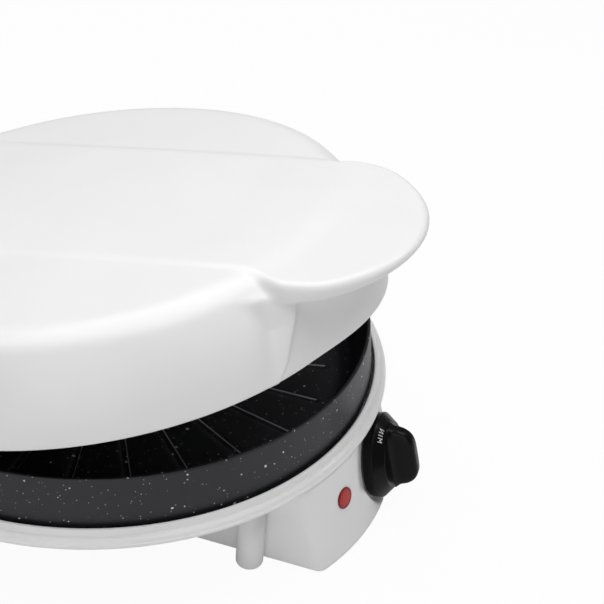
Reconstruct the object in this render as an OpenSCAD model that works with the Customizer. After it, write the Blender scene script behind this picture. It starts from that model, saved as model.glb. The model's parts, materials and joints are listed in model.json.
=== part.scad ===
// Electric pizza maker: a round pan in a white base, a dial on the front and a lid hinged at the back.
// Millimetres. The origin is the middle of the footprint at the floor, +Z is up and the front faces -Y.

/* [Pan] */
// Outer radius of the pan at its rim
pan_r = 174.5; // [165:0.5:180]
// Height of the pan's rim above the floor
pan_rim_z = 99.5; // [94:0.5:104]
// Inner depth of the pan
pan_depth = 38.5; // [32:0.5:42]
// How much narrower the pan is at its floor
pan_draft = 8.5; // [6:0.5:12]
// Thickness of the cast pan
pan_t = 2.5; // [2:0.1:3.5]
// Number of grooves pressed in the pan's floor
groove_count = 24; // [12:1:30]
// Width of one groove
groove_w = 4.5; // [3:0.5:6]
// Depth of one groove
groove_depth = 1; // [0.5:0.1:1.5]
// Distance from the grooves' ends to the edge of the pan's floor
groove_margin = 17; // [14:1:30]
// Radius at which the grooves start near the middle
groove_start_r = 62; // [50:1:90]

// Thickness of the pan's outer skirt
skirt_t = 2; // [1.5:0.1:2.5]
// Gap between the skirt's lower edge and the ring's lip
skirt_gap = 1.7; // [1.2:0.1:2.5]

/* [Base] */
// Width of the base ring outside its lip
ring_w = 8.4; // [8:0.2:14]
// Height of the ring's outer edge
ring_edge_z = 62.5; // [60:0.5:64]
// Height of the lip round the pan
ring_lip_z = 69; // [67:0.5:71]
// How far the ring's lip stands outside the pan's rim
ring_gap = 5.5; // [4.5:0.5:7]
// Thickness of the moulded base
base_t = 2.5; // [2:0.1:3]
// Height of the bowl's underside above the floor
bowl_z = 30; // [28:0.5:32]
// How far the bowl's flat floor ends inside the ring
bowl_slope_w = 44.4; // [42:0.2:50]
// Diameter of the foot columns
foot_d = 17; // [15:0.5:20]
// How far the foot columns stand out from the housing's side walls
foot_out = 5.6; // [4:0.2:7]
// How far the foot columns stand inside the ring's edge
foot_in = 21.9; // [20:0.1:30]
// Diameter of the rubber foot pads
pad_d = 11; // [8:0.5:12]
// How far the pads stand below the columns
pad_proud = 1; // [0.5:0.1:2]

/* [Control housing] */
// Width of the control housing
box_w = 154; // [150:1:160]
// Sideways distance from the lid's middle to the housing's
box_mid_x = -11; // [-14:0.5:-8]
// Depth of the housing at its top, from front to back
box_l = 92.5; // [88:0.5:100]
// How far the housing's lower front edge stands outside the ring
box_reach = 13.8; // [13:0.2:15]
// Radius of the housing's rounded front at its lower edge
box_arc_r = 161.8; // [155:0.2:175]
// How much further out the housing's front stands at its bottom
box_flare = 14.7; // [12:0.1:18]
// Height of the housing's bottom edge above the floor
box_z = 2; // [1.5:0.5:3]
// Height of the housing's top under the ring
box_top_z = 57; // [56:0.5:58]
// Thickness of the bottom cover
cover_t = 2; // [1.5:0.1:3]
// Number of vent slots in the cover
vent_count = 5; // [3:1:7]

/* [Dial and lamp] */
// Height of the dial's centre on the housing front
dial_z = 29.9; // [29.5:0.1:30.5]
// Diameter of the dial's skirt
dial_d = 55.6; // [50:0.2:57]
// Thickness of the dial's skirt
dial_skirt = 6.8; // [5:0.2:8]
// Height of the dial's sloping shoulder
dial_cone = 6.5; // [5:0.5:8]
// Diameter of the dial's face
dial_top_d = 43; // [40:0.5:46]
// How far the grip stands out from the dial's face
grip_h = 18.5; // [14:0.5:22]
// Thickness of the grip
grip_t = 13; // [10:0.5:15]
// Diameter of the thermostat shaft
shaft_d = 6; // [5:0.5:7]
// Gap between the dial and the floor of its seat
dial_gap = 1.5; // [1:0.1:2]
// Depth of the round seat that the dial stands in
dial_sink = 5.4; // [4:0.2:6]
// Gap between the dial and the wall of its seat
dial_room = 2; // [1:0.1:2.2]
// Sideways distance from the dial to the lamp
lamp_x = -57.3; // [-60:0.1:-54]
// Height of the lamp's centre
lamp_z = 38.7; // [34:0.1:40]
// Diameter of the lamp's lens
lamp_d = 14; // [12:0.5:15]

/* [Lid] */
// How far the lid's lower edge stands outside the pan's rim
lid_over = 9; // [8:0.5:11]
// Height of the lid's lower edge above the floor when closed
lid_z = 80; // [79:0.5:82]
// Thickness of the lid's moulding
lid_t = 2.6; // [2:0.1:3]
// Height of the lid's side wall
lid_wall_h = 52; // [50:0.5:54]
// Lean of the wall at its lower edge in degrees
lid_low_lean = 5; // [3:0.5:7]
// Lean of the wall at its top in degrees
lid_top_lean = 34; // [31:0.5:36]
// Radius of the round shoulder
lid_shoulder_r = 13; // [10:0.5:16]
// Rise of the top towards its middle
lid_crown = 2.5; // [1.5:0.1:4]
// Half the width of the raised band across the lid
band_x = 76; // [72:0.5:79]
// How far the band stands above the crown
band_proud = 1.2; // [0.8:0.1:2]
// Radius of the round lip at the front
lip_r = 94; // [92:0.5:96]
// How far the lip reaches out from the lid's lower edge
lip_reach = 35.5; // [34:0.5:37]
// Half the width of the lip at its sides
lip_x = 82; // [79:0.5:86]
// Height of the lip's lower edge above the floor when closed
lip_low_z = 122; // [120:0.5:123]
// Height of the lip's rim
lip_h = 10; // [8:0.5:12]
// Radius of the upright front under the lip
front_r = 105; // [100:1:110]
// How far the upright front stands out from the lid's lower edge
front_out = 7; // [5:0.5:8]
// Angle of the two ridges from the front
ridge_angle = 33; // [31:0.5:34]
// How far the lid stands open at rest in degrees
lid_open = 10.1; // [8:0.1:14]

/* [Hinge] */
// Distance of the hinge axis behind the ring's edge
hinge_out = 17.6; // [15:0.2:18]
// Height of the hinge axis above the floor
hinge_z = 73; // [72:0.5:75]
// Diameter of the hollow hinge pin
pin_d = 8; // [7:0.5:9]
// Diameter of the bore through the pin
pin_bore_d = 5.2; // [4.6:0.1:5.6]
// Distance from the middle to the inner side of the lid's hinge arms
arm_x = 46; // [42:0.5:48]
// Width of the lid's hinge arms
arm_w = 15.6; // [14:0.2:16]
// Width of a hinge tower on the base
tower_w = 18; // [17.5:0.5:20]
// Gap between an arm and a tower
hinge_gap = 0.4; // [0.3:0.1:0.8]

/* [Heating] */
// Diameter of the tubular heating elements
element_d = 6.5; // [6:0.1:7.5]
// Distance from the lower element's loop to the edge of the pan's floor
element_in = 48; // [46:1:54]
// Distance from the upper element's loop to the edge of the pan's floor
upper_in = 61; // [56:1:66]
// Thickness of the steel heat shield
shield_t = 1; // [0.6:0.1:1.2]
// Height of the heat shield's floor
shield_z = 38; // [37:0.5:39]
// Thickness of the steel lid liner
liner_t = 1; // [0.6:0.1:1.2]
// Gap between the liner's flange and the pan's rim when closed
liner_gap = 0.5; // [0.4:0.1:1]
// Rise of the liner above its flange
liner_rise = 25; // [22:0.5:26]

/* [Hidden] */

$fn = 96;
fit = 0.02;
run = 0.05;
bend_swell = 1.3;
seat = 0.3;
cut = 1;

// The pan's axis stands this far behind the middle of the whole footprint
axis_y = 3.2;

white = [0.95, 0.95, 0.95];
steel = [0.75, 0.76, 0.78];
black = [0.06, 0.06, 0.07];

// Main radii, all from the pan's
pan_floor_r = pan_r - pan_draft;
groove_end_r = pan_floor_r - groove_margin;
ring_lip_r = pan_r + ring_gap;
ring_r = ring_lip_r + ring_w;
bowl_floor_r = ring_r - bowl_slope_w;
box_front_y = ring_r + box_reach;
box_back_y = box_front_y - box_flare - box_l;
box_left = box_mid_x - box_w / 2;
box_right = box_mid_x + box_w / 2;
foot_x = foot_out - box_left;
foot_y = sqrt(pow(ring_r - foot_in, 2) - foot_x * foot_x);
lid_r = pan_r + lid_over;
lip_y = lid_r + lip_reach - lip_r;
front_y = lid_r + front_out - front_r;
hinge_y = ring_r + hinge_out;
arm_end_x = arm_x + arm_w;
element_r = pan_floor_r - element_in;
upper_r = pan_floor_r - upper_in;

// Pan
pan_floor_z = pan_rim_z - pan_depth;
pan_under_z = pan_floor_z - pan_t;
pan_corner = 7;
rim_roll = 1.5;
skirt_r = ring_lip_r - skirt_gap;
skirt_z = ring_lip_z - 3;
skirt_top_z = pan_rim_z - 8;

// Base bowl: the flank runs from the flat floor out to the ring
ring_under_z = box_top_z - 2;
flank_r = ring_r - 4;
flank_lean = atan2(ring_under_z - bowl_z, flank_r - bowl_floor_r);
function bowl_out_r(z) = bowl_floor_r + (z - bowl_z) / tan(flank_lean);
function bowl_in_r(z) = bowl_out_r(z) - base_t / sin(flank_lean);
bowl_top_z = bowl_z + base_t;
lip_foot_z = bowl_z + (ring_lip_r + base_t / sin(flank_lean) - bowl_floor_r) * tan(flank_lean);
lip_w = 2.3;
ring_step_z = ring_lip_z - 2.7;

// Control housing: the rounded front leans out towards the floor
box_h = box_top_z - box_z;
box_arc_y = box_arc_r - box_front_y;
face_lean = atan2(box_flare, box_h);
function face_r(z) = box_arc_r - (z - box_z) * tan(face_lean);
function face_y(x, z) = box_arc_y - sqrt(pow(face_r(z), 2) - pow(x - box_mid_x, 2));
function face_turn(x, z) = asin((x - box_mid_x) / face_r(z));
box_roof = 2.5;
cover_z = box_z + 1;
cover_top_z = cover_z + cover_t;
boss_r = 4;
screw_r = 1.75;
head_r = 3.2;
head_h = 2;
boss_in = 14;
boss_x0 = box_left + boss_in;
boss_x1 = box_right - boss_in;
boss_front_y = box_arc_y + boss_in - sqrt(pow(box_arc_r - boss_in, 2) - pow(box_w / 2 - boss_in, 2));
boss_back_y = -box_back_y - 13;
boss_top_z = bowl_z + 18;
cover_bosses = [
    [boss_x0, boss_front_y], [boss_x1, boss_front_y],
    [boss_x0, boss_back_y], [boss_x1, boss_back_y]
];

// Feet
foot_z = pad_proud;
pad_h = 2.5;
foot_edge = 2;

// What holds the pan: screws from below through the bowl, the shield and a spacer
stay_r = bowl_floor_r - 9;
stay_angles = [35, 145, 215, 325];
stay_screw_r = 2.5;
stay_boss_r = 7;
spacer_r = 6;
pan_boss_h = 6;
spacer_top_z = pan_under_z - pan_boss_h;
pan_boss_r = 7;
stay_head_r = 4.5;
stay_head_h = 3;

// Heat shield
shield_floor_r = bowl_floor_r - 1;
shield_rim_r = pan_r - 2.5;
shield_rim_z = pan_under_z - 2;

// Lower element: an open loop under the pan with two legs down into the housing
element_c = element_d / 2;
element_z = pan_under_z - element_c - fit;
leg_x = 13;
leg_y = -sqrt(element_r * element_r - leg_x * leg_x);
loop_gap = asin(leg_x / element_r);
leg_low_z = 24;
leg_hole_r = 5;
clip_angles = [0, 70, 180, 290];
clip_boss_r = 4.5;
clip_in = 11;
clip_t = 1.5;
clip_w = 12;
clip_screw_r = 2;
clip_top_z = element_z - element_c - fit;

// Dial: its axis leans with the housing's front, and a round seat takes it in
dial_r = dial_d / 2;
dial_y = -face_y(0, dial_z) - dial_sink / cos(face_lean);
pocket_r = dial_r + dial_room;
pocket_l = 12;
shaft_r = shaft_d / 2;
dial_face = dial_gap + dial_skirt + dial_cone;
grip_len = 42;
grip_round = 13;
shaft_out = dial_face - 3;
seat_z = -4.5;
seat_r = pocket_r + base_t;
plate_t = 1.5;
plate_w = 40;
plate_tall = 24;
thermo_w = 30;
thermo_l = 20;
thermo_back = seat_z - plate_t - thermo_l;
shaft_in = seat_z - plate_t - 10;
thermo_screw_x = 15;
thermo_screw_r = 2;

function face_point(x, up, out) = [
    x,
    -dial_y + up * sin(face_lean) - out * cos(face_lean),
    dial_z + up * cos(face_lean) + out * sin(face_lean)
];

// Lamp
lamp_seat = 0.4;
lamp_neck_r = 5.5;
lamp_flange = 1.6;
lamp_body_r = 5;
lamp_body_l = 18;

// Capillary bulb under the pan
bulb_r = element_c;
bulb_x = -40;
bulb_y0 = -element_r + 26;
bulb_l = 60;
bulb_z = element_z;
capillary_r = 0.8;
bulb_clip_y = bulb_y0 + 42;
bulb_in_y = bulb_y0 - 18;
bulb_boss_x = bulb_x + 11;

// Fuse under the pan
fuse_x = 42;
fuse_y = -element_r + 58;
fuse_clip_reach = 11;
fuse_lead_end = 8;
fuse_lead_turn = 22;
fuse_r = element_c;
fuse_l = 30;
fuse_z = element_z;
fuse_lead_z = 49;

// Terminal block, gland and clamp
block = [34, 16, 13];
block_at = [box_right - 50, -box_back_y - 33, cover_top_z];
gland_y = -box_back_y - 21;
gland_z = 20;
gland_r = 6;
gland_bore_r = 3.5;
gland_flange_r = 8;
clamp_x = box_right - 26;
clamp_w = 8;
clamp_reach = 12;
clamp_h = 11;
block_hole = 11;
block_hole_r = 2.2;
block_wire_z = block_at[2] + block[2] / 2;
wire_r = 1.2;

// Leads
lead_r = 1.5;
lead_hole_r = 3;
under_shield_z = (bowl_top_z + shield_z) / 2;

// Hinge
pin_r = pin_d / 2;
pin_bore_r = pin_bore_d / 2;
tower_x = arm_end_x + hinge_gap;
tower_end_x = tower_x + tower_w;
tower_r = 10;
arm_r = 9.5;
bush_r = 6;
pin_end_x = tower_end_x - 8;
lead_x = tower_end_x - 5;
lead_in = [box_right - 36, -box_back_y - 12];
lead_back_y = hinge_y - 88;
lead_low_z = box_z + 16;
lead_bend = 4.5;
lead_side_run = 40;
slot_x0 = -10;
slot_x1 = -2;
slot_mid = (slot_x0 + slot_x1) / 2;
cap_r = 6.5;
cap_t = 2;

// Lid: the wall is one arc from its low lean to its top lean, then the shoulder turns to the crown
wall_r = lid_wall_h / (sin(lid_top_lean) - sin(lid_low_lean));
wall_cx = lid_r - wall_r * cos(lid_low_lean);
wall_cz = lid_z - wall_r * sin(lid_low_lean);
shoulder_x = wall_cx + (wall_r - lid_shoulder_r) * cos(lid_top_lean);
shoulder_z = wall_cz + (wall_r - lid_shoulder_r) * sin(lid_top_lean);
shoulder_end = 86;
wall_steps = 4;
shoulder_steps = 4;
lid_top_z = shoulder_z + lid_shoulder_r + lid_crown;
band_z = lid_top_z + band_proud;
function wall_point(a, inset) = [wall_cx + (wall_r - inset) * cos(a), wall_cz + (wall_r - inset) * sin(a)];
function shoulder_point(a, inset) =
    [shoulder_x + (lid_shoulder_r - inset) * cos(a), shoulder_z + (lid_shoulder_r - inset) * sin(a)];
lip_t = 2.6;
tail_x = 60;
tail_y = lid_r - 33.5;
ear_seat_z = lid_z + 4;
lead_tail = [slot_mid, lid_r - 3.5, lid_z + 26];
lead_over = [slot_mid, lid_r - 25.5, lid_z + 41];

// Liner: its flange closes over the pan's rim and its dish rises into the lid
liner_z = pan_rim_z + liner_gap;
liner_flange_r = wall_point(asin((liner_z + 2 - wall_cz) / wall_r), lid_t)[0] - seat;
liner_in_r = pan_r - 12;
liner_top_r = liner_in_r - 14.5;
liner_top_z = liner_z + liner_rise;
liner_boss_r = 4.5;
liner_screw_r = 1.75;
liner_angles = [20, 80, 145, 200, 270, 340];
liner_hole_r = pan_r - pan_t - 4;
upper_z = liner_top_z - element_c - fit;
upper_leg_x = 11;
upper_leg_y = sqrt(upper_r * upper_r - upper_leg_x * upper_leg_x);
upper_gap = asin(upper_leg_x / upper_r);
upper_leg_top_z = liner_top_z + 6;
upper_clip_angles = [0, 60, 120, 180, 270];

// A straight rod between two points
module rod(a, b, r) {
    v = b - a;
    l = norm(v);
    translate(a)
        rotate([0, acos(v[2] / l), atan2(v[1], v[0])])
            cylinder(h = l, r = r, $fn = 32);
}

// A lead or tube along a list of points
module run_along(points, r) {
    for (i = [0 : len(points) - 2])
        rod(points[i], points[i + 1], r);
    if (len(points) > 2)
        for (i = [1 : len(points) - 2])
            translate(points[i])
                sphere(r = r * bend_swell, $fn = 24);
}

// A place on the housing front: +Z of the child points straight out of it
module on_face(x, z) {
    translate([x, face_y(x, z), z])
        rotate([0, 0, face_turn(x, z)])
            rotate([90 - face_lean, 0, 0])
                children();
}

// The dial's place, from the floor of its seat
module on_dial() {
    translate([0, -dial_y, dial_z])
        rotate([90 - face_lean, 0, 0])
            children();
}

// Sizes are drawn from the pan's axis, then moved to the origin
module placed() {
    translate([0, axis_y, 0])
        children();
}

// The lid's pose at rest
module lid_pose() {
    translate([0, hinge_y + axis_y, hinge_z])
        rotate([-lid_open, 0, 0])
            translate([0, -hinge_y, -hinge_z])
                children();
}

// The same thing at each angle round the pan's axis, at a radius
module around(angles, r) {
    for (a = angles)
        rotate([0, 0, a])
            translate([r, 0, 0])
                children();
}

// One on each side of the middle
module both_sides() {
    children();
    mirror([1, 0, 0]) children();
}

// A solid drawn in the Y-Z plane and extruded across X
module across(x0, x1) {
    translate([x0, 0, 0])
        rotate([90, 0, 90])
            linear_extrude(height = x1 - x0)
                children();
}

// The outside of the bowl and its ring, solid to the lip
module bowl_outside() {
    rotate_extrude()
        polygon([
            [0, bowl_z],
            [bowl_floor_r, bowl_z],
            [flank_r, ring_under_z],
            [ring_r, ring_under_z + 1],
            [ring_r, ring_edge_z],
            [ring_r - 2.5, ring_step_z - 1],
            [ring_lip_r + lip_w + 0.7, ring_step_z],
            [ring_lip_r + lip_w, ring_lip_z],
            [0, ring_lip_z]
        ]);
}

// The room inside the bowl
module bowl_inside() {
    rotate_extrude()
        polygon([
            [0, bowl_top_z],
            [bowl_in_r(bowl_top_z), bowl_top_z],
            [ring_lip_r, lip_foot_z],
            [ring_lip_r, ring_lip_z + cut],
            [0, ring_lip_z + cut]
        ]);
}

// The control housing, shrunk by an inset
module housing_block(inset, z0, z1) {
    intersection() {
        translate([box_mid_x, box_arc_y, z0])
            cylinder(h = z1 - z0, r1 = face_r(z0) - inset, r2 = face_r(z1) - inset);
        translate([box_left + inset, -box_front_y - cut, z0])
            cube([box_w - 2 * inset, box_front_y + cut - box_back_y - inset, z1 - z0]);
    }
}

// The cup round the dial's seat, inside the housing's front
module dial_cup() {
    intersection() {
        on_dial()
            translate([0, 0, seat_z])
                cylinder(h = pocket_l - seat_z, r = seat_r);
        housing_block(0, box_z, box_top_z);
    }
}

module foot_column() {
    translate([0, 0, foot_z])
        cylinder(h = foot_edge, r1 = foot_d / 2 - foot_edge, r2 = foot_d / 2);
    translate([0, 0, foot_z + foot_edge])
        cylinder(h = ring_under_z - foot_z - foot_edge, r = foot_d / 2);
}

module feet() {
    for (y = [-foot_y, foot_y])
        both_sides()
            translate([foot_x, y, 0])
                children();
}

module hinge_tower() {
    across(tower_x, tower_end_x) {
        translate([hinge_y, hinge_z])
            circle(r = tower_r);
        polygon([
            [flank_r - 18, bowl_z + 16],
            [flank_r - 4, bowl_z + 16],
            [hinge_y + 6, hinge_z - 8],
            [hinge_y - 2, hinge_z + tower_r - 0.3],
            [ring_r - 2, hinge_z - 4],
            [flank_r - 18, ring_step_z - 6]
        ]);
    }
}

module base_shell() {
    color(white) placed()
    difference() {
        union() {
            bowl_outside();
            difference() {
                union() {
                    housing_block(0, box_z, box_top_z);
                    feet() foot_column();
                }
                housing_block(base_t, box_z - cut, box_top_z - box_roof);
            }
            for (p = cover_bosses)
                translate([p[0], p[1], cover_top_z])
                    cylinder(h = boss_top_z - cover_top_z, r = boss_r);
            dial_cup();
            both_sides() hinge_tower();
        }
        // The bowl is cleared last, leaving the bosses that hold the pan
        difference() {
            bowl_inside();
            around(stay_angles, stay_r)
                translate([0, 0, bowl_z])
                    cylinder(h = shield_z - bowl_z, r = stay_boss_r);
        }
        // Screw holes up through the bowl
        around(stay_angles, stay_r) {
            translate([0, 0, bowl_z - cut])
                cylinder(h = shield_z, r = stay_screw_r + fit);
            translate([0, 0, bowl_z - cut])
                cylinder(h = stay_head_h + cut, r = stay_head_r + seat);
        }
        for (p = cover_bosses)
            translate([p[0], p[1], cover_top_z - cut])
                cylinder(h = 12 + cut, r = screw_r + fit);
        feet()
            cylinder(h = pad_h, r = pad_d / 2 + fit);
        // Ways from the housing into the bowl
        for (x = [-leg_x, leg_x])
            translate([x, leg_y, bowl_z - cut])
                cylinder(h = base_t + 2 * cut, r = leg_hole_r);
        for (p = [[bulb_x, bulb_in_y], lead_in])
            translate([p[0], p[1], bowl_z - cut])
                cylinder(h = base_t + 2 * cut, r = lead_hole_r);
        // The dial's seat, its shaft and the thermostat's two screws
        on_dial() {
            cylinder(h = pocket_l + cut, r = pocket_r);
            translate([0, 0, seat_z - cut])
                cylinder(h = -seat_z + 2 * cut, r = shaft_r + 1.5);
            for (x = [-thermo_screw_x, thermo_screw_x])
                translate([x, 0, seat_z - cut]) {
                    cylinder(h = -seat_z + 2 * cut, r = thermo_screw_r + fit);
                    translate([0, 0, cut - seat_z - head_h])
                        cylinder(h = head_h + cut, r = head_r + fit);
                }
        }
        on_face(lamp_x, lamp_z) {
            translate([0, 0, -base_t - 2 * cut])
                cylinder(h = base_t + 4 * cut, r = lamp_neck_r + fit);
            translate([0, 0, -lamp_seat])
                cylinder(h = 2 * cut, r = lamp_d / 2 + fit);
        }
        translate([box_right - base_t - cut, gland_y, gland_z])
            rotate([0, 90, 0])
                cylinder(h = base_t + 2 * cut, r = gland_r + fit);
        // The pin's bore: blind on the right, where the lead comes in, and open on the left
        translate([-tower_end_x - cut, hinge_y, hinge_z])
            rotate([0, 90, 0])
                cylinder(h = 2 * tower_end_x - 2 + cut, r = pin_r + fit);
        rod([lead_x, lead_back_y, under_shield_z], [lead_x, hinge_y, hinge_z], lead_r + 0.5);
    }
}

module foot_pads() {
    color(black) placed()
        feet()
            cylinder(h = pad_h, r = pad_d / 2);
}

module housing_cover() {
    slot_w = 3;
    slot_l = 34;
    slot_pitch = 9;
    color(white) placed()
    difference() {
        housing_block(base_t + seat, cover_z, cover_top_z);
        for (p = cover_bosses)
            translate([p[0], p[1], cover_z - cut])
                cylinder(h = cover_t + 2 * cut, r = screw_r + fit);
        for (i = [0 : vent_count - 1])
            translate([-slot_l / 2 - 25, boss_back_y - 12 - i * slot_pitch - slot_w / 2, cover_z - cut])
                cube([slot_l, slot_w, cover_t + 2 * cut]);
        on_dial()
            translate([0, 0, seat_z - seat])
                cylinder(h = pocket_l - seat_z + seat, r = seat_r + seat);
        for (y = [gland_y - clamp_reach, gland_y + clamp_reach])
            translate([clamp_x, y, cover_z - cut])
                cylinder(h = cover_t + 2 * cut, r = screw_r + fit);
    }
}

// A screw standing on its head, with its shank up
module screw_up(r, head, h_head, length) {
    cylinder(h = h_head, r = head);
    translate([0, 0, h_head])
        cylinder(h = length, r = r);
}

module cover_screws() {
    color(steel) placed()
        for (p = cover_bosses)
            translate([p[0], p[1], cover_z - head_h])
                screw_up(screw_r, head_r, head_h, cover_t + 10);
}

module heat_shield() {
    color(steel) placed()
    difference() {
        rotate_extrude()
            polygon([
                [0, shield_z],
                [shield_floor_r, shield_z],
                [shield_rim_r, shield_rim_z],
                [shield_rim_r - shield_t, shield_rim_z + shield_t],
                [shield_floor_r - shield_t, shield_z + shield_t],
                [0, shield_z + shield_t]
            ]);
        around(stay_angles, stay_r)
            translate([0, 0, shield_z - cut])
                cylinder(h = shield_t + 2 * cut, r = stay_screw_r + fit);
        for (x = [-leg_x, leg_x])
            translate([x, leg_y, shield_z - cut])
                cylinder(h = shield_t + 2 * cut, r = leg_hole_r);
        translate([bulb_x, bulb_in_y, shield_z - cut])
            cylinder(h = shield_t + 2 * cut, r = lead_hole_r);
    }
}

module groove() {
    x0 = groove_start_r + groove_w / 2;
    x1 = groove_end_r - groove_w / 2;
    translate([0, 0, pan_floor_z - groove_depth]) {
        translate([x0, -groove_w / 2, 0])
            cube([x1 - x0, groove_w, groove_depth + cut]);
        for (x = [x0, x1])
            translate([x, 0, 0])
                cylinder(h = groove_depth + cut, r = groove_w / 2, $fn = 24);
    }
}

module pan() {
    color([0.2, 0.2, 0.22]) placed()
    difference() {
        union() {
            rotate_extrude()
                polygon([
                    [0, pan_under_z],
                    [pan_floor_r - pan_corner, pan_under_z],
                    [pan_floor_r - 1.5, pan_under_z + 3],
                    [pan_floor_r + 0.5, pan_under_z + pan_corner],
                    [pan_r - rim_roll, skirt_top_z],
                    [skirt_r - skirt_t, skirt_z],
                    [skirt_r, skirt_z],
                    [pan_r, pan_rim_z - rim_roll],
                    [pan_r - 0.4, pan_rim_z],
                    [pan_r - pan_t, pan_rim_z],
                    [pan_floor_r + 0.5 - pan_t, pan_floor_z + pan_corner],
                    [pan_floor_r - 1.5 - pan_t, pan_floor_z + 2.5],
                    [pan_floor_r - pan_corner - pan_t, pan_floor_z],
                    [0, pan_floor_z]
                ]);
            around(stay_angles, stay_r)
                translate([0, 0, spacer_top_z])
                    cylinder(h = pan_boss_h + 0.5, r = pan_boss_r);
            around(clip_angles, element_r - clip_in)
                translate([0, 0, clip_top_z])
                    cylinder(h = pan_under_z - clip_top_z + 0.5, r = clip_boss_r);
            for (p = [[bulb_boss_x, bulb_clip_y], [fuse_x, fuse_y + fuse_clip_reach]])
                translate([p[0], p[1], clip_top_z])
                    cylinder(h = pan_under_z - clip_top_z + 0.5, r = clip_boss_r);
        }
        for (i = [0 : groove_count - 1])
            rotate([0, 0, 90 + i * 360 / groove_count])
                groove();
        around(stay_angles, stay_r)
            translate([0, 0, spacer_top_z - cut])
                cylinder(h = pan_boss_h + cut, r = stay_screw_r + fit);
        around(clip_angles, element_r - clip_in)
            translate([0, 0, clip_top_z - cut])
                cylinder(h = 6 + cut, r = clip_screw_r + fit);
        for (p = [[bulb_boss_x, bulb_clip_y], [fuse_x, fuse_y + fuse_clip_reach]])
            translate([p[0], p[1], clip_top_z - cut])
                cylinder(h = 6 + cut, r = clip_screw_r + fit);
    }
}

module pan_spacers() {
    color(steel) placed()
    around(stay_angles, stay_r)
        difference() {
            translate([0, 0, shield_z + shield_t])
                cylinder(h = spacer_top_z - shield_z - shield_t, r = spacer_r);
            translate([0, 0, shield_z])
                cylinder(h = spacer_top_z - shield_z + cut, r = stay_screw_r + fit);
        }
}

module pan_screws() {
    color(steel) placed()
        around(stay_angles, stay_r)
            translate([0, 0, bowl_z])
                screw_up(stay_screw_r, stay_head_r, stay_head_h, pan_under_z - bowl_z - stay_head_h - 1);
}

// An open loop of heating tube about the pan's axis, with its gap at the angle given
module element_loop(r, z, gap, facing) {
    translate([0, 0, z])
        rotate([0, 0, facing + gap])
            rotate_extrude(angle = 360 - 2 * gap)
                translate([r, 0])
                    circle(r = element_c, $fn = 32);
}

module lower_element() {
    color([0.35, 0.34, 0.33]) placed() {
        element_loop(element_r, element_z, loop_gap, -90);
        for (x = [-leg_x, leg_x])
            translate([x, leg_y, leg_low_z]) {
                cylinder(h = element_z - leg_low_z, r = element_c - 0.1);
                translate([0, 0, element_z - leg_low_z])
                    sphere(r = element_c + 0.05, $fn = 32);
            }
    }
}

// A flat clip that holds a tube up against a floor, with its screw hole beside the tube
module flat_clip(reach) {
    difference() {
        translate([-clip_boss_r - 1, -clip_w / 2, clip_top_z - clip_t])
            cube([reach + clip_boss_r + 5, clip_w, clip_t]);
        translate([0, 0, clip_top_z - clip_t - cut])
            cylinder(h = clip_t + 2 * cut, r = clip_screw_r + fit);
    }
}

module lower_element_clips() {
    color(steel) placed()
        around(clip_angles, element_r - clip_in)
            flat_clip(clip_in);
}

module clip_screw() {
    translate([0, 0, clip_top_z - clip_t - head_h])
        screw_up(clip_screw_r, head_r, head_h, clip_t + 5);
}

module clip_screws() {
    color(steel) placed() {
        around(clip_angles, element_r - clip_in)
            clip_screw();
        for (p = [[bulb_boss_x, bulb_clip_y], [fuse_x, fuse_y + fuse_clip_reach]])
            translate([p[0], p[1], 0])
                clip_screw();
    }
}

module thermostat() {
    color([0.85, 0.83, 0.75]) placed()
    on_dial()
        difference() {
            union() {
                translate([-plate_w / 2, -plate_tall / 2, seat_z - plate_t])
                    cube([plate_w, plate_tall, plate_t]);
                translate([-thermo_w / 2, -thermo_w / 2, thermo_back])
                    cube([thermo_w, thermo_w, thermo_l]);
            }
            translate([0, 0, shaft_in])
                cylinder(h = seat_z - shaft_in + cut, r = shaft_r + run);
            for (x = [-thermo_screw_x, thermo_screw_x])
                translate([x, 0, seat_z - plate_t - 5])
                    cylinder(h = plate_t + 5 + cut, r = thermo_screw_r + fit);
        }
}

module thermostat_screws() {
    color(steel) placed()
    on_dial()
        for (x = [-thermo_screw_x, thermo_screw_x])
            translate([x, 0, -head_h]) {
                cylinder(h = head_h, r = head_r);
                translate([0, 0, seat_z - plate_t + head_h - 4])
                    cylinder(h = 4 + plate_t - seat_z - head_h + 0.01, r = thermo_screw_r);
            }
}

module thermostat_bulb() {
    color([0.75, 0.5, 0.35]) placed() {
        translate([bulb_x, bulb_y0, bulb_z])
            rotate([-90, 0, 0])
                cylinder(h = bulb_l, r = bulb_r, $fn = 32);
        run_along([
            face_point(-4, 0, thermo_back),
            face_point(-4, 0, thermo_back - 8),
            [bulb_x, bulb_in_y - 20, 22],
            [bulb_x, bulb_in_y, 27],
            [bulb_x, bulb_in_y, 46],
            [bulb_x, bulb_y0 + 1, bulb_z]
        ], capillary_r);
    }
}

module bulb_clip() {
    color(steel) placed()
        translate([bulb_boss_x, bulb_clip_y, 0])
            rotate([0, 0, 180])
                flat_clip(bulb_boss_x - bulb_x);
}

module thermal_fuse() {
    color([0.9, 0.9, 0.88]) placed() {
        translate([fuse_x - fuse_l / 2, fuse_y, fuse_z])
            rotate([0, 90, 0])
                cylinder(h = fuse_l, r = fuse_r, $fn = 32);
        translate([fuse_x, fuse_y + fuse_clip_reach, 0])
            rotate([0, 0, -90])
                flat_clip(fuse_clip_reach);
        run_along([
            [fuse_x - fuse_l / 2 + 1, fuse_y, fuse_z],
            [fuse_x - fuse_l / 2 - fuse_lead_end, fuse_y, fuse_z],
            [leg_x, fuse_y - fuse_lead_turn, fuse_lead_z],
            [leg_x, leg_y + element_c - 0.1 + fit, fuse_lead_z]
        ], 1);
    }
}

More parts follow.
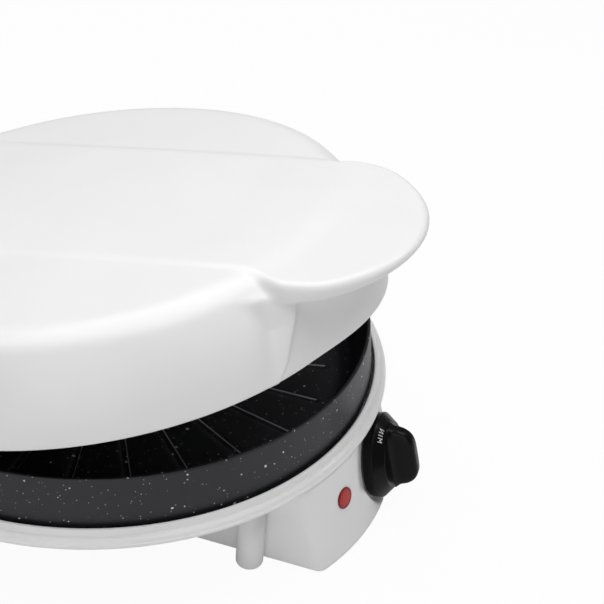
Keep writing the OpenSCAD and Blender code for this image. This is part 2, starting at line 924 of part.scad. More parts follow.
module lamp_lens() {
    color([0.8, 0.1, 0.08, 0.9]) placed()
    on_face(lamp_x, lamp_z) {
        translate([0, 0, -lamp_seat])
            cylinder(h = lamp_flange, r1 = lamp_d / 2, r2 = lamp_d / 2 - 0.8);
        translate([0, 0, -base_t - 1.5])
            cylinder(h = base_t + 1.5, r = lamp_neck_r);
    }
}

module lamp_holder() {
    color([0.9, 0.9, 0.88]) placed()
    on_face(lamp_x, lamp_z)
        translate([0, 0, -base_t - 1.5 - lamp_body_l])
            cylinder(h = lamp_body_l, r = lamp_body_r);
}

module terminal_block() {
    color([0.88, 0.88, 0.82]) placed()
    difference() {
        translate(block_at - [block[0] / 2, block[1] / 2, 0])
            cube(block);
        for (i = [-1 : 1])
            translate([block_at[0] + i * block_hole, block_at[1], block_wire_z])
                rotate([90, 0, 0])
                    cylinder(h = block[1] + 2 * cut, r = block_hole_r, center = true);
    }
}

module cord_gland() {
    color(black) placed()
    translate([box_right - base_t - 4, gland_y, gland_z])
        rotate([0, 90, 0])
            difference() {
                union() {
                    cylinder(h = base_t + 5, r = gland_r);
                    translate([0, 0, base_t + 4])
                        cylinder(h = 3, r1 = gland_flange_r, r2 = gland_flange_r - 1);
                }
                translate([0, 0, -cut])
                    cylinder(h = base_t + 7 + 2 * cut, r = gland_bore_r);
            }
}

module cord_clamp() {
    color([0.9, 0.9, 0.88]) placed()
    translate([clamp_x - clamp_w / 2, gland_y, cover_top_z])
        difference() {
            translate([0, -clamp_reach - 4, 0])
                cube([clamp_w, 2 * clamp_reach + 8, clamp_h]);
            translate([-cut, 0, clamp_h])
                rotate([0, 90, 0])
                    cylinder(h = clamp_w + 2 * cut, r = gland_bore_r + 1);
            for (y = [-clamp_reach, clamp_reach])
                translate([clamp_w / 2, y, -cut])
                    cylinder(h = 9 + cut, r = screw_r + fit);
        }
}

module clamp_screws() {
    color(steel) placed()
        for (y = [gland_y - clamp_reach, gland_y + clamp_reach])
            translate([clamp_x, y, cover_z - head_h])
                screw_up(screw_r, head_r - 0.4, head_h, cover_t + 7);
}

// Short wires: block to thermostat, thermostat to lamp and the two legs of the lower element
module housing_wires() {
    mid_x = block_at[0] - block_hole / 2;
    front_y = block_at[1] - block[1] / 2;
    back_y = block_at[1] + block[1] / 2;
    side = face_point(thermo_w / 2, -2, seat_z - 12);
    lamp_back = -base_t - 1.5 - lamp_body_l;
    lamp_turn = face_turn(lamp_x, lamp_z);
    lamp_dir = [sin(lamp_turn) * cos(face_lean), -cos(lamp_turn) * cos(face_lean), sin(face_lean)];
    lamp_at = [lamp_x, face_y(lamp_x, lamp_z), lamp_z];
    color([0.3, 0.3, 0.32]) placed() {
        run_along([
            [mid_x, front_y, block_wire_z],
            [mid_x, front_y - 6, block_wire_z],
            [side[0] + 12, side[1], side[2]],
            [side[0], side[1], side[2]]
        ], wire_r);
        run_along([
            lamp_at + lamp_back * lamp_dir,
            lamp_at + (lamp_back - 6) * lamp_dir,
            [-side[0] - 8, side[1], side[2]],
            [-side[0], side[1], side[2]]
        ], wire_r);
        run_along([
            [-leg_x, leg_y, leg_low_z],
            [-leg_x, leg_y, leg_low_z - 6],
            [block_at[0] - block[0] / 2 - 8, block_at[1], block_wire_z],
            [block_at[0] - block[0] / 2, block_at[1], block_wire_z]
        ], wire_r);
        run_along([
            [leg_x, leg_y, leg_low_z],
            [leg_x, leg_y, leg_low_z - 4],
            [mid_x, back_y + 8, block_wire_z],
            [mid_x, back_y, block_wire_z]
        ], wire_r);
    }
}

// The lid's supply: from the block, under the shield, up the right tower and into the hollow pin
module hinge_lead() {
    color([0.85, 0.85, 0.8]) placed()
    run_along([
        [block_at[0] + block_hole * 1.5, block_at[1] + block[1] / 2, block_wire_z],
        [lead_in[0], lead_in[1] - lead_bend, lead_low_z],
        [lead_in[0] + 0.5, lead_in[1] + 1.5, under_shield_z],
        [lead_x, lead_in[1] + lead_side_run, under_shield_z],
        [lead_x, lead_back_y, under_shield_z],
        [lead_x, hinge_y, hinge_z],
        [0.15, hinge_y, hinge_z]
    ], lead_r);
}

module hinge_pin() {
    color(steel) placed()
    difference() {
        translate([-tower_end_x + cap_t, hinge_y, hinge_z])
            rotate([0, 90, 0])
                difference() {
                    cylinder(h = pin_end_x + tower_end_x - cap_t, r = pin_r);
                    translate([0, 0, -cut])
                        cylinder(h = pin_end_x + tower_end_x + cut, r = pin_bore_r);
                }
        translate([slot_x0, hinge_y - pin_r - cut, hinge_z - 1.9])
            cube([slot_x1 - slot_x0, 2 * (pin_r + cut), pin_d]);
    }
}

module hinge_cap() {
    color(white) placed()
    translate([-tower_end_x - cap_t, hinge_y, hinge_z])
        rotate([0, 90, 0]) {
            cylinder(h = cap_t, r = cap_r);
            translate([0, 0, cap_t])
                cylinder(h = cap_t, r = pin_r);
        }
}

module dial() {
    color(black) placed()
    on_dial()
        difference() {
            union() {
                translate([0, 0, dial_gap])
                    cylinder(h = dial_skirt, r = dial_r);
                translate([0, 0, dial_gap + dial_skirt])
                    cylinder(h = dial_cone, r1 = dial_r, r2 = dial_top_d / 2);
                // The grip: a flat bar whose outer corners are rounded
                intersection() {
                    translate([-grip_t / 2, -grip_len / 2, dial_face - 1])
                        cube([grip_t, grip_len, grip_h + 1]);
                    rotate([0, 90, 0])
                        linear_extrude(height = grip_t + cut, center = true)
                            union() {
                                for (s = [-1, 1])
                                    translate([-dial_face - grip_h + grip_round, s * (grip_len / 2 - grip_round)])
                                        circle(r = grip_round);
                                translate([-dial_face - grip_h, -grip_len / 2 + grip_round])
                                    square([grip_h + 2, grip_len - 2 * grip_round]);
                                translate([-dial_face - grip_h + grip_round, -grip_len / 2])
                                    square([grip_h - grip_round + 2, grip_len]);
                            }
                }
            }
            translate([0, 0, dial_gap - cut])
                cylinder(h = shaft_out - dial_gap + cut, r = shaft_r + fit);
        }
}

module dial_shaft() {
    color(steel) placed()
    on_dial()
        difference() {
            translate([0, 0, shaft_in + 0.5])
                cylinder(h = shaft_out - shaft_in - 1, r = shaft_r);
            translate([shaft_r - 1, -shaft_r, dial_gap])
                cube([2, 2 * shaft_r, shaft_out]);
        }
}

// The lid's round body, shrunk by an inset
module dome(inset, z0) {
    rotate_extrude()
        polygon(concat(
            [[0, z0], [wall_point(lid_low_lean, inset)[0], z0]],
            [for (i = [0 : wall_steps])
                wall_point(lid_low_lean + (lid_top_lean - lid_low_lean) * i / wall_steps, inset)],
            [for (i = [1 : shoulder_steps])
                shoulder_point(lid_top_lean + (shoulder_end - lid_top_lean) * i / shoulder_steps, inset)],
            [[0, lid_top_z - inset]]
        ));
}

// The band and the lip from above: the lip is a disc cut off at both sides
module band_plan(inset) {
    intersection() {
        translate([0, -lip_y])
            circle(r = lip_r - inset, $fn = 128);
        polygon([
            [-lip_x + 6 + inset, -lip_y - 24],
            [-lip_x + inset, -lip_y - 32],
            [-lip_x + inset, -lip_y - lip_r],
            [lip_x - inset, -lip_y - lip_r],
            [lip_x - inset, -lip_y - 32],
            [lip_x - 6 - inset, -lip_y - 24]
        ]);
    }
    polygon([
        [-band_x + 2 + inset, -lip_y],
        [-band_x - 2 + inset, tail_y],
        [band_x + 2 - inset, tail_y],
        [band_x - 2 - inset, -lip_y]
    ]);
}

// The band and the lip from the side, from their tops down to z0
module band_side(drop, z0) {
    lip_top = lip_low_z + lip_h;
    polygon([
        [tail_y + 8, z0],
        [tail_y + 8, band_z - 4 - drop],
        [tail_y - 25, band_z - drop],
        [-lip_y + 15, band_z - drop],
        [-lip_y - 30, band_z - 3.5 - drop],
        [-lip_y - lip_r, lip_top - 3 - drop],
        [-lip_y - lip_r - cut, z0]
    ]);
}

module band_block(inset, drop, z0) {
    intersection() {
        translate([0, 0, z0])
            linear_extrude(height = band_z + cut - z0)
                band_plan(inset);
        across(-lip_r - cut, lip_r + cut)
            band_side(drop, z0);
    }
}

// The cover behind the band and the two arms that reach the hinge
module tail_side(inset) {
    polygon([
        [tail_y, ear_seat_z + 12],
        [tail_y, band_z - 4 - inset],
        [lid_r - 11.5, band_z - 10 - inset],
        [hinge_y - 16 - inset, band_z - 17 - inset / 2],
        [hinge_y - 6 - inset, ear_seat_z + 20],
        [hinge_y - 3 - inset, ear_seat_z + 2],
        [hinge_y - 3 - inset, ear_seat_z],
        [lid_r - 13.5, ear_seat_z]
    ]);
}

module hinge_arm() {
    across(arm_x, arm_end_x) {
        translate([hinge_y, hinge_z])
            circle(r = arm_r);
        polygon([
            [hinge_y - 24, ear_seat_z + 1],
            [hinge_y - 20, ear_seat_z + 34],
            [hinge_y - 6, ear_seat_z + 20],
            [hinge_y + 9, hinge_z + 12],
            [hinge_y + arm_r - 0.2, hinge_z + 1],
            [hinge_y - 6, hinge_z - 7]
        ]);
    }
}

// A ridge that runs from the lip down the wall
module ridge() {
    top_r = lid_r - 6.5;
    hull() {
        rotate([0, 0, ridge_angle - 6])
            translate([0, -top_r, lip_low_z + 2])
                cylinder(h = 4, r = 4, $fn = 16);
        rotate([0, 0, ridge_angle - 1])
            translate([0, -lid_r + 13, lip_low_z + 4])
                cylinder(h = 6, r = 6, $fn = 16);
        rotate([0, 0, ridge_angle + 1])
            translate([0, -lid_r + 1.5, lid_z])
                cylinder(h = 1, r = 1, $fn = 12);
        rotate([0, 0, ridge_angle - 1])
            translate([0, -lid_r + 5, lid_z])
                cylinder(h = 1, r = 4, $fn = 16);
    }
}

// The upright front under the lip: a round wall that grows out of the lid's own
module front_block(inset, z1) {
    translate([0, -front_y, lid_z])
        cylinder(h = z1 - lid_z, r = front_r - inset);
}

module lid_shell() {
    color(white)
    lid_pose()
    difference() {
        union() {
            dome(0, lid_z);
            band_block(0, 0, lip_low_z);
            front_block(0, lip_low_z + 4);
            both_sides() ridge();
            both_sides() hinge_arm();
            across(-tail_x, tail_x) tail_side(0);
        }
        difference() {
            union() {
                dome(lid_t, lid_z - cut);
                translate([0, 0, -cut]) front_block(lid_t, lip_low_z + 3);
            }
            // Bosses that carry the liner
            around(liner_angles, liner_hole_r)
                translate([0, 0, liner_z + liner_t])
                    cylinder(h = 26, r = liner_boss_r);
        }
        // The hollow under the lip, outside the wall
        difference() {
            band_block(lip_t, lip_t, lip_low_z - cut);
            dome(0, lid_z);
            front_block(0, lip_low_z + 6);
        }
        // The room inside the tail, open to the lid so that the lead can pass
        difference() {
            across(-arm_x, arm_x) tail_side(lid_t);
            dome(0, lid_z);
        }
        rod(lead_tail + (lead_tail - lead_over) / 3, lead_over, lead_r + 0.8);
        across(-arm_x, arm_x)
            translate([hinge_y, hinge_z])
                circle(r = arm_r + 3);
        around(liner_angles, liner_hole_r)
            translate([0, 0, liner_z])
                cylinder(h = 14, r = liner_screw_r + fit);
        both_sides()
            translate([arm_x - cut, hinge_y, hinge_z])
                rotate([0, 90, 0])
                    cylinder(h = arm_end_x - arm_x + 2 * cut, r = bush_r + fit);
    }
}

module hinge_bushes() {
    color([0.8, 0.7, 0.4])
    lid_pose()
        both_sides()
            translate([arm_x, hinge_y, hinge_z])
                rotate([0, 90, 0])
                    difference() {
                        cylinder(h = arm_end_x - arm_x, r = bush_r);
                        translate([0, 0, -cut])
                            cylinder(h = arm_end_x - arm_x + 2 * cut, r = pin_r + run);
                    }
}

module lid_liner() {
    color(steel)
    lid_pose()
    difference() {
        union() {
            rotate_extrude()
                polygon([
                    [liner_in_r, liner_z],
                    [liner_flange_r, liner_z],
                    [liner_flange_r, liner_z + liner_t],
                    [liner_in_r + liner_t, liner_z + liner_t],
                    [liner_top_r + liner_t, liner_top_z + liner_t],
                    [0, liner_top_z + liner_t],
                    [0, liner_top_z],
                    [liner_top_r, liner_top_z]
                ]);
        }
        around(liner_angles, liner_hole_r)
            translate([0, 0, liner_z - cut])
                cylinder(h = liner_t + 2 * cut, r = liner_screw_r + fit);
        for (x = [-upper_leg_x, upper_leg_x])
            translate([x, upper_leg_y, liner_top_z - cut])
                cylinder(h = liner_t + 2 * cut, r = element_c + 1);
        around(upper_clip_angles, upper_r - clip_in)
            translate([0, 0, liner_top_z - cut])
                cylinder(h = liner_t + 2 * cut, r = clip_screw_r + fit);
    }
}

// Low heads that stay clear of the pan's rim when the lid closes
module liner_screws() {
    thin_head = 1.2;
    color(steel)
    lid_pose()
        around(liner_angles, liner_hole_r)
            translate([0, 0, liner_z - thin_head])
                screw_up(liner_screw_r, head_r - 0.7, thin_head, liner_t + 10);
}

module upper_element() {
    color([0.35, 0.34, 0.33])
    lid_pose() {
        element_loop(upper_r, upper_z, upper_gap, 90);
        for (x = [-upper_leg_x, upper_leg_x])
            translate([x, upper_leg_y, upper_z]) {
                sphere(r = element_c + 0.05, $fn = 32);
                cylinder(h = upper_leg_top_z - upper_z, r = element_c - 0.1);
            }
    }
}

// A clip under the upper element: a plate with a post up to the liner
module upper_clip() {
    low = upper_z - element_c - fit;
    difference() {
        union() {
            translate([-clip_boss_r - 1, -clip_w / 2, low - clip_t])
                cube([clip_in + clip_boss_r + 5, clip_w, clip_t]);
            translate([0, 0, low - 0.5])
                cylinder(h = liner_top_z - low + 0.5, r = clip_boss_r);
        }
        translate([0, 0, low - clip_t - cut])
            cylinder(h = element_d + 6, r = clip_screw_r + fit);
    }
}

module upper_element_clips() {
    color(steel)
    lid_pose()
        around(upper_clip_angles, upper_r - clip_in)
            upper_clip();
}

module upper_clip_screws() {
    low = upper_z - element_c - fit - clip_t;
    color(steel)
    lid_pose()
        around(upper_clip_angles, upper_r - clip_in)
            translate([0, 0, low - head_h])
                screw_up(clip_screw_r, head_r, head_h, liner_top_z + liner_t + 2 - low);
}

// The lid's half of the supply: out of the pin's slot, up the tail and over the liner
module lid_lead() {
    color([0.85, 0.85, 0.8])
    lid_pose()
        run_along([
            [-0.15, hinge_y, hinge_z],
            [slot_mid, hinge_y, hinge_z],
            [slot_mid, hinge_y - 16, hinge_z + 9],
            [slot_mid, hinge_y - 19, lid_z + 18],
            lead_tail,
            lead_over,
            [slot_mid, lead_over[1] - 10, upper_leg_top_z - 2],
            [-upper_leg_x, upper_leg_y + element_c - 0.1 + fit, upper_leg_top_z - 2]
        ], lead_r);
}

base_shell();
foot_pads();
housing_cover();
cover_screws();
heat_shield();
pan();
pan_spacers();
pan_screws();
lower_element();
lower_element_clips();
clip_screws();
thermostat();
thermostat_screws();
thermostat_bulb();
bulb_clip();
thermal_fuse();
lamp_lens();
lamp_holder();
terminal_block();
cord_gland();
cord_clamp();
clamp_screws();
housing_wires();
hinge_lead();
hinge_pin();
hinge_cap();
dial();
dial_shaft();
lid_shell();
hinge_bushes();
lid_liner();
liner_screws();
upper_element();
upper_element_clips();
upper_clip_screws();
lid_lead();
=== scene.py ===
"""Looks of an electric pizza maker: white lid and base, dark speckled pan, black dial and red lamp."""

import json
import math

import bmesh
import bpy
import numpy as np
from mathutils import Matrix, Vector


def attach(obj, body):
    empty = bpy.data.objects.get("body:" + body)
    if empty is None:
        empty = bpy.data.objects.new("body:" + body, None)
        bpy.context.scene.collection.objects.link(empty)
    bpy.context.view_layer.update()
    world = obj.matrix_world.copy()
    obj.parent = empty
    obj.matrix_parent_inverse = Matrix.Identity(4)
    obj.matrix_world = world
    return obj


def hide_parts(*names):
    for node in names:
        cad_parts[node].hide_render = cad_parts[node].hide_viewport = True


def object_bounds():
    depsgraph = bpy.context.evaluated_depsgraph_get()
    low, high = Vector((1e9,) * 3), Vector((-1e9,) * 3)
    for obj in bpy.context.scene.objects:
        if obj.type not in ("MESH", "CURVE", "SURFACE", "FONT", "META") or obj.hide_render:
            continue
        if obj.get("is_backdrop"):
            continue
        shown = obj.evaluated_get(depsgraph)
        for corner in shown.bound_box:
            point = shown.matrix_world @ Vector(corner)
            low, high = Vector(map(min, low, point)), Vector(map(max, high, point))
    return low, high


bl_info = {
    "name": "Electric pizza maker",
    "version": (1, 0, 0),
    "blender": (4, 5, 0),
    "location": "3D View > Sidebar > Pizza maker",
    "description": "Builds the visible surfaces of an electric pizza maker around its packed frame",
    "category": "Object",
}

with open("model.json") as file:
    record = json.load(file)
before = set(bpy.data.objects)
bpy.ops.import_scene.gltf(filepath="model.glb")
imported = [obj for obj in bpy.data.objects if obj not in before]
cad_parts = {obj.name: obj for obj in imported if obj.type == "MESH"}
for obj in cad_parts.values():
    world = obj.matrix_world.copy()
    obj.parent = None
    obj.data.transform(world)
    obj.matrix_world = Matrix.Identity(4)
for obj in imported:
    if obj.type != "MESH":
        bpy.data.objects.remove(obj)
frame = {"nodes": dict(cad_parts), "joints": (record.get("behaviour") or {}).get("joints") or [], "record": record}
CAD_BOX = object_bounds()

MM = 0.001
JOINTS = {joint["name"]: joint for joint in frame["joints"]}
HINGE = Vector(JOINTS["lid_hinge"]["pos_m"]) / MM
DIAL_AT = Vector(JOINTS["dial_turn"]["pos_m"]) / MM
LID_OPEN = -JOINTS["lid_hinge"]["range_deg"][0]

# Sizes in millimetres, measured from the pan's axis and the floor; PIN is the hinge's axis in Y and Z
PIN = (206.0, 73.0)
AXIS_Y = HINGE.y - PIN[0]
PAN_R = 174.5
PAN_RIM_Z = 99.5
PAN_FLOOR_Z = 61.0
PAN_FLOOR_R = 166.0
PAN_T = 2.5
SKIRT_R, SKIRT_Z, SKIRT_T = 178.3, 66.0, 2.0
GROOVE_START_R, GROOVE_END_R = 62.0, PAN_FLOOR_R - 17.0
SIDE_COLUMNS = 4
RING_R = 188.4
RING_EDGE_Z = 62.5
RING_LIP_R = 180.0
RING_LIP_Z = 69.8
BOWL_FLOOR_R = 144.0
BOWL_Z = 30.0
BOWL_TOP = (180.6, 55.0)
WALL_T = 2.5
BOX_RIGHT = 66.0
BOX_BACK_Y = -95.0
BOX_FRONT_Y = BOX_BACK_Y - 20.0
BOX_MID_X, BOX_MID_Y, BOX_ARC_R = -11.0, -40.4, 161.8
BOX_Z = 2.0
FACE_LEAN = math.atan2(14.7, 55.0)
SEAT_R = 29.8
POST_X, POST_Y, POST_R = 93.6, 137.7, 8.5
LAMP_X, LAMP_Z = -57.3, 38.7
DIAL_BACK_Z = 1.5
DIAL_SHOULDER_Z = DIAL_BACK_Z + 6.8
DIAL_FACE_Z = DIAL_SHOULDER_Z + 6.5
DIAL_R, DIAL_TOP_R, DIAL_HOLE_R = 27.8, 21.5, 3.02
GRIP_HEIGHT, GRIP_LENGTH, GRIP_THICK = 15.6, 44.0, 12.0
GRIP_TURN_R, GRIP_EDGE_R, GRIP_POINTS = 13.0, 3.4, 96
GRIP_LEVELS = (
    -0.6, 0.2, 0.7, 1.3, 2.0, 2.9, 4.0, 5.5, 7.0, 8.5,
    10.0, 11.2, 12.2, 13.1, 13.9, 14.5, 15.0, 15.35, 15.55, 15.6,
)
LID_Z = 80.0
LID_T = 2.6
LID_INNER_ROWS = 36
LID_TOP_Z = 140.2
WALL_R, WALL_Z, WALL_ARC_R = 73.7, 70.4, 110.2
FRONT_MID_Y, FRONT_R, FRONT_TOP_Z = 85.5, 105.0, 126.0
LIP_Z = 122.0
LIP_MID_Y, LIP_R = 125.0, 94.0
LIP_TOP_Z, LIP_FALL, LIP_START, LIP_LENGTH = 136.2, 7.2, 147.0, 72.0
BAND_HALF, BAND_END_Y = 76.0, 158.0
TAIL_HALF, TAIL_END_Y, TAIL_Z = 60.0, 203.0, 84.0
ARM_X = (46.0, 61.6)
TOWER_X = (62.0, 80.0)
# The tail's top, from its start on the lid down to its end
TAIL_AT = (140, 158, 172, 184, 192, 198, 203)
TAIL_TOP = (138.6, 136.2, 131.5, 124.5, 114.0, 101.0, 84.0)
# The ridges under the lip's corners, by their height as a share: angle from the front in degrees,
# width, depth of the valley behind, and how far out the crest stands
RIDGE_TALL = 46.0
RIDGE_TOP_Z = 132.0
RIDGE_AT = (0, 0.22, 0.43, 0.65, 0.83, 1)
RIDGE_CREST = (31.9, 29.3, 27.6, 25.7, 24.8, 22.5)
RIDGE_WIDTH = (1.6, 5.0, 8.2, 11.6, 15.5, 24.0)
VALLEY_DEPTH = (0, 0.6, 1.3, 2.3, 1.6, 0)
REACH_AT = (0, 0.15, 0.35, 0.61, 0.91, 1)
REACH = (183.7, 184.1, 183.4, 182.0, 180.6, 180.0)

# Inputs of the grain, and a smooth moulding's values
GRAIN_INPUTS = ("Scale", "Depth", "Cloud Scale")
PLAIN_GRAIN = (900.0, 0.02, 18.0)

# Specks of the coating: scale, size, share, pale colour, brown colour
SPECKS = (
    (170.0, 0.2, 0.3, (0.85, 0.85, 0.86, 1.0), (0.55, 0.36, 0.25, 1.0)),
    (290.0, 0.2, 0.34, (0.6, 0.6, 0.62, 1.0), (0.4, 0.28, 0.22, 1.0)),
    (620.0, 0.3, 0.2, (0.32, 0.32, 0.34, 1.0), (0.24, 0.2, 0.18, 1.0)),
)
# Colour of the painted highlight on one wall of each groove, where the light would catch it
GROOVE_GLINT_COLOUR = (0.85, 0.85, 0.86, 1.0)

# Screws: frame node, body, head radius and height, shank radius and length, axis (None: the lid's)
SCREWS = (
    ("cover_screws", "base", 3.2, 2.0, 1.75, 11.0, (0, 0, -1)),
    ("pan_screws", "base", 4.5, 3.0, 2.5, 24.0, (0, 0, -1)),
    ("clamp_screws", "base", 2.8, 2.0, 1.75, 8.0, (0, 0, -1)),
    ("liner_screws", "lid", 2.5, 1.2, 1.75, 10.0, None),
)

# Lamps: name, place, aim, size and power
LAMPS = (
    ("top", (0.1, 0.0, 1.9), (0, 0, 0.1), 2.2, 38.0),
    ("left", (-1.85, -0.4, 0.55), (0, 0, 0.1), 1.3, 6.3),
    ("right", (0.85, -0.95, 1.25), (0, -0.15, 0.05), 0.2, 1.7),
)
FILL_STRENGTH = 0.2
FLOOR_SIZE = 6.0
FLOOR_GLOW = 0.95
# The camera: angles in degrees, aim height and shift in millimetres, lens and sensor in millimetres
AZIMUTH, ELEVATION, ROLL = -75.0, 33.21, 4.77
AIM_Z, SHIFT_RIGHT, SHIFT_UP, DISTANCE = 62.0, 127.95, 42.0, 813.01
SENSOR, LENS = 36.0, 1200.0 / 604.0 * 36.0


# ---- Mesh helpers


def to_metres(points):
    """Millimetres about the pan's axis become metres in the shared frame."""
    out = np.asarray(points, dtype=float) * MM
    out[:, 1] += AXIS_Y * MM
    return out


def shade(mesh, smooth=True):
    """Sets every face of a mesh to smooth or flat."""
    mesh.polygons.foreach_set("use_smooth", [smooth] * len(mesh.polygons))
    mesh.update()


def new_piece(name, mesh):
    """An object at the origin that shows a mesh."""
    piece = bpy.data.objects.new(name, mesh)
    bpy.context.scene.collection.objects.link(piece)
    return piece


def make_object(name, points, faces, smooth=True):
    """A mesh object at the origin from points in millimetres about the pan's axis."""
    mesh = bpy.data.meshes.new(name)
    mesh.from_pydata(to_metres(points).tolist(), [], [list(map(int, f)) for f in faces])
    mesh.validate()
    shade(mesh, smooth)
    return new_piece(name, mesh)


def grid_faces(rows, columns, wrap=True):
    """Quads of a grid whose rows follow the section and whose columns go round."""
    r = np.arange(rows - 1)[:, None]
    c = np.arange(columns if wrap else columns - 1)[None, :]
    n = (c + 1) % columns
    quads = np.stack([r * columns + c, r * columns + n, (r + 1) * columns + n, (r + 1) * columns + c], -1)
    return [tuple(quad) for quad in quads.reshape(-1, 4)]


def cap(hub, first, count, outwards=True):
    """Triangles between a row of points that starts at first and one point in its middle."""
    fan = [(first + i, first + (i + 1) % count, hub) for i in range(count)]
    return fan if outwards else [(b, a, hub) for a, b, hub in fan]


def bridge(last, count):
    """Quads between the last row, which starts at last, and the first row."""
    return [(last + i, last + (i + 1) % count, (i + 1) % count, i) for i in range(count)]


def arc(middle, radius, angles):
    """Points of a circle at some angles."""
    return [(middle[0] + radius * math.cos(a), middle[1] + radius * math.sin(a)) for a in angles]


def rounded(corners, radii, steps=6, closed=True):
    """A flat outline with each corner turned into an arc."""
    corners = [np.array(c, dtype=float) for c in corners]
    count = len(corners)
    out = []
    for i, corner in enumerate(corners):
        radius = radii[i] if hasattr(radii, "__len__") else radii
        if radius <= 0 or (not closed and i in (0, count - 1)):
            out.append(corner)
            continue
        before = corners[i - 1] - corner
        after = corners[(i + 1) % count] - corner
        la, lb = np.linalg.norm(before), np.linalg.norm(after)
        before, after = before / la, after / lb
        angle = math.acos(max(-1.0, min(1.0, float(before @ after))))
        if angle > math.pi - 0.02:
            out.append(corner)
            continue
        reach = min(radius / math.tan(angle / 2), la * 0.49, lb * 0.49)
        radius = reach * math.tan(angle / 2)
        middle = corner + (before + after) / np.linalg.norm(before + after) * radius / math.sin(angle / 2)
        start = corner + before * reach - middle
        end = corner + after * reach - middle
        sweep = math.pi - angle
        for k in range(steps + 1):
            t = k / steps
            a, b = math.sin((1 - t) * sweep) / math.sin(sweep), math.sin(t * sweep) / math.sin(sweep)
            out.append(middle + start * a + end * b)
    return np.array(out)


def spin(name, section, segments=256, turn=None):
    """A closed section (radius, height) swept round the vertical axis; ends on the axis are closed."""
    section = np.array(section, dtype=float)
    angles = np.linspace(0, 2 * math.pi, segments, endpoint=False)
    rings = section[(section[:, 0] > 1e-6)]
    starts_in, ends_in = section[0, 0] <= 1e-6, section[-1, 0] <= 1e-6
    r, z = rings[:, 0][:, None], rings[:, 1][:, None]
    points = np.stack([r * np.cos(angles), r * np.sin(angles), z + 0 * angles], -1).reshape(-1, 3)
    faces = grid_faces(len(rings), segments)
    last = (len(rings) - 1) * segments
    if starts_in:
        points = np.vstack([points, [[0, 0, section[0, 1]]]])
        faces += cap(len(points) - 1, 0, segments, outwards=False)
    if ends_in:
        points = np.vstack([points, [[0, 0, section[-1, 1]]]])
        faces += cap(len(points) - 1, last, segments)
    if not starts_in and not ends_in:
        faces += bridge(last, segments)
    if turn is not None:
        points = turn(points)
    piece = make_object(name, points, faces)
    face_outwards(piece)
    return piece


def face_outwards(piece):
    """Normals of a closed mesh point out of it."""
    work = bmesh.new()
    work.from_mesh(piece.data)
    bmesh.ops.remove_doubles(work, verts=work.verts, dist=1e-6)
    bmesh.ops.recalc_face_normals(work, faces=work.faces)
    work.to_mesh(piece.data)
    work.free()
    piece.data.update()


def prism(name, outline, low, high, bevel, spread=None):
    """An outline in the Y-Z plane carried along X, with its edges rounded."""
    count = len(outline)
    points = [(x, y, z) for x in (low, high) for y, z in outline]
    faces = [tuple(range(count)), tuple(range(2 * count - 1, count - 1, -1))]
    faces += [(i, count + i, count + (i + 1) % count, (i + 1) % count) for i in range(count)]
    if spread is not None:
        points = spread(np.array(points, dtype=float))
    piece = make_object(name, points, faces)
    face_outwards(piece)
    soften(piece, bevel)
    return piece


def on_both_sides(name, outline, near, far, bevel, spread=None):
    """The same prism on the left and on the right, kept as one piece."""
    spans = (-far, -near), (near, far)
    return joined(name, [prism("side", outline, low, high, bevel, spread) for low, high in spans])


def soften(piece, width, segments=3, angle=35):
    """Rounds the sharp edges of a piece for good."""
    bevel = piece.modifiers.new("Soft edges", "BEVEL")
    bevel.width = width * MM
    bevel.segments = segments
    bevel.limit_method = "ANGLE"
    bevel.angle_limit = math.radians(angle)
    settle(piece)


def settle(piece):
    """Turns a piece's modifiers into plain mesh."""
    shown = piece.evaluated_get(bpy.context.evaluated_depsgraph_get())
    mesh = bpy.data.meshes.new_from_object(shown)
    old = piece.data
    piece.modifiers.clear()
    piece.data = mesh
    mesh.name = piece.name
    bpy.data.meshes.remove(old)
    shade(mesh)


def joined(name, pieces):
    """Several closed meshes kept as one piece."""
    points, faces, base = [], [], 0
    for piece in pieces:
        mesh = piece.data
        points += [tuple(v.co) for v in mesh.vertices]
        faces += [[base + i for i in p.vertices] for p in mesh.polygons]
        base = len(points)
        bpy.data.objects.remove(piece)
    mesh = bpy.data.meshes.new(name)
    mesh.from_pydata(points, [], faces)
    shade(mesh)
    return new_piece(name, mesh)


def crease_by_angle(piece, degrees):
    """Marks edges sharper than an angle, so that flat faces shade flat beside round ones."""
    piece.data.set_sharp_from_angle(angle=math.radians(degrees))


def face_radius(height):
    """Radius of the housing's round front, which leans back, at a height."""
    return BOX_ARC_R - (height - BOX_Z) * math.tan(FACE_LEAN)


def face_place(x, height):
    """Places points on the housing's sloping front: local Z points out of it, local Y up it."""
    radius, aside = face_radius(height), x - BOX_MID_X
    turn = Matrix.Rotation(math.asin(aside / radius), 4, "Z")
    shift = Matrix.Translation((x, BOX_MID_Y - math.sqrt(radius**2 - aside**2), height))
    tilt = Matrix.Rotation(math.pi / 2 - FACE_LEAN, 4, "X")
    return np.array(shift @ turn @ tilt)


def dial_place():
    """Places points at the dial, from the floor of its round seat; local Z is the dial's axis."""
    shift = Matrix.Translation((DIAL_AT.x, DIAL_AT.y - AXIS_Y, DIAL_AT.z))
    tilt = Matrix.Rotation(math.pi / 2 - FACE_LEAN, 4, "X")
    return np.array(shift @ tilt)


def moved(points, matrix):
    """Points carried from a place's own axes to the pan's."""
    points = np.asarray(points, dtype=float)
    return points @ matrix[:3, :3].T + matrix[:3, 3]


def put_back(points, matrix):
    """Points carried from the pan's axes to a place's own."""
    return (points - matrix[:3, 3]) @ matrix[:3, :3]


def lid_at_rest(points):
    """Turns points of the closed lid about the hinge to the angle at which it stands."""
    angle = math.radians(LID_OPEN)
    out = np.array(points, dtype=float)
    y, z = out[:, 1] - PIN[0], out[:, 2] - PIN[1]
    out[:, 1] = PIN[0] + y * math.cos(angle) + z * math.sin(angle)
    out[:, 2] = PIN[1] - y * math.sin(angle) + z * math.cos(angle)
    return out


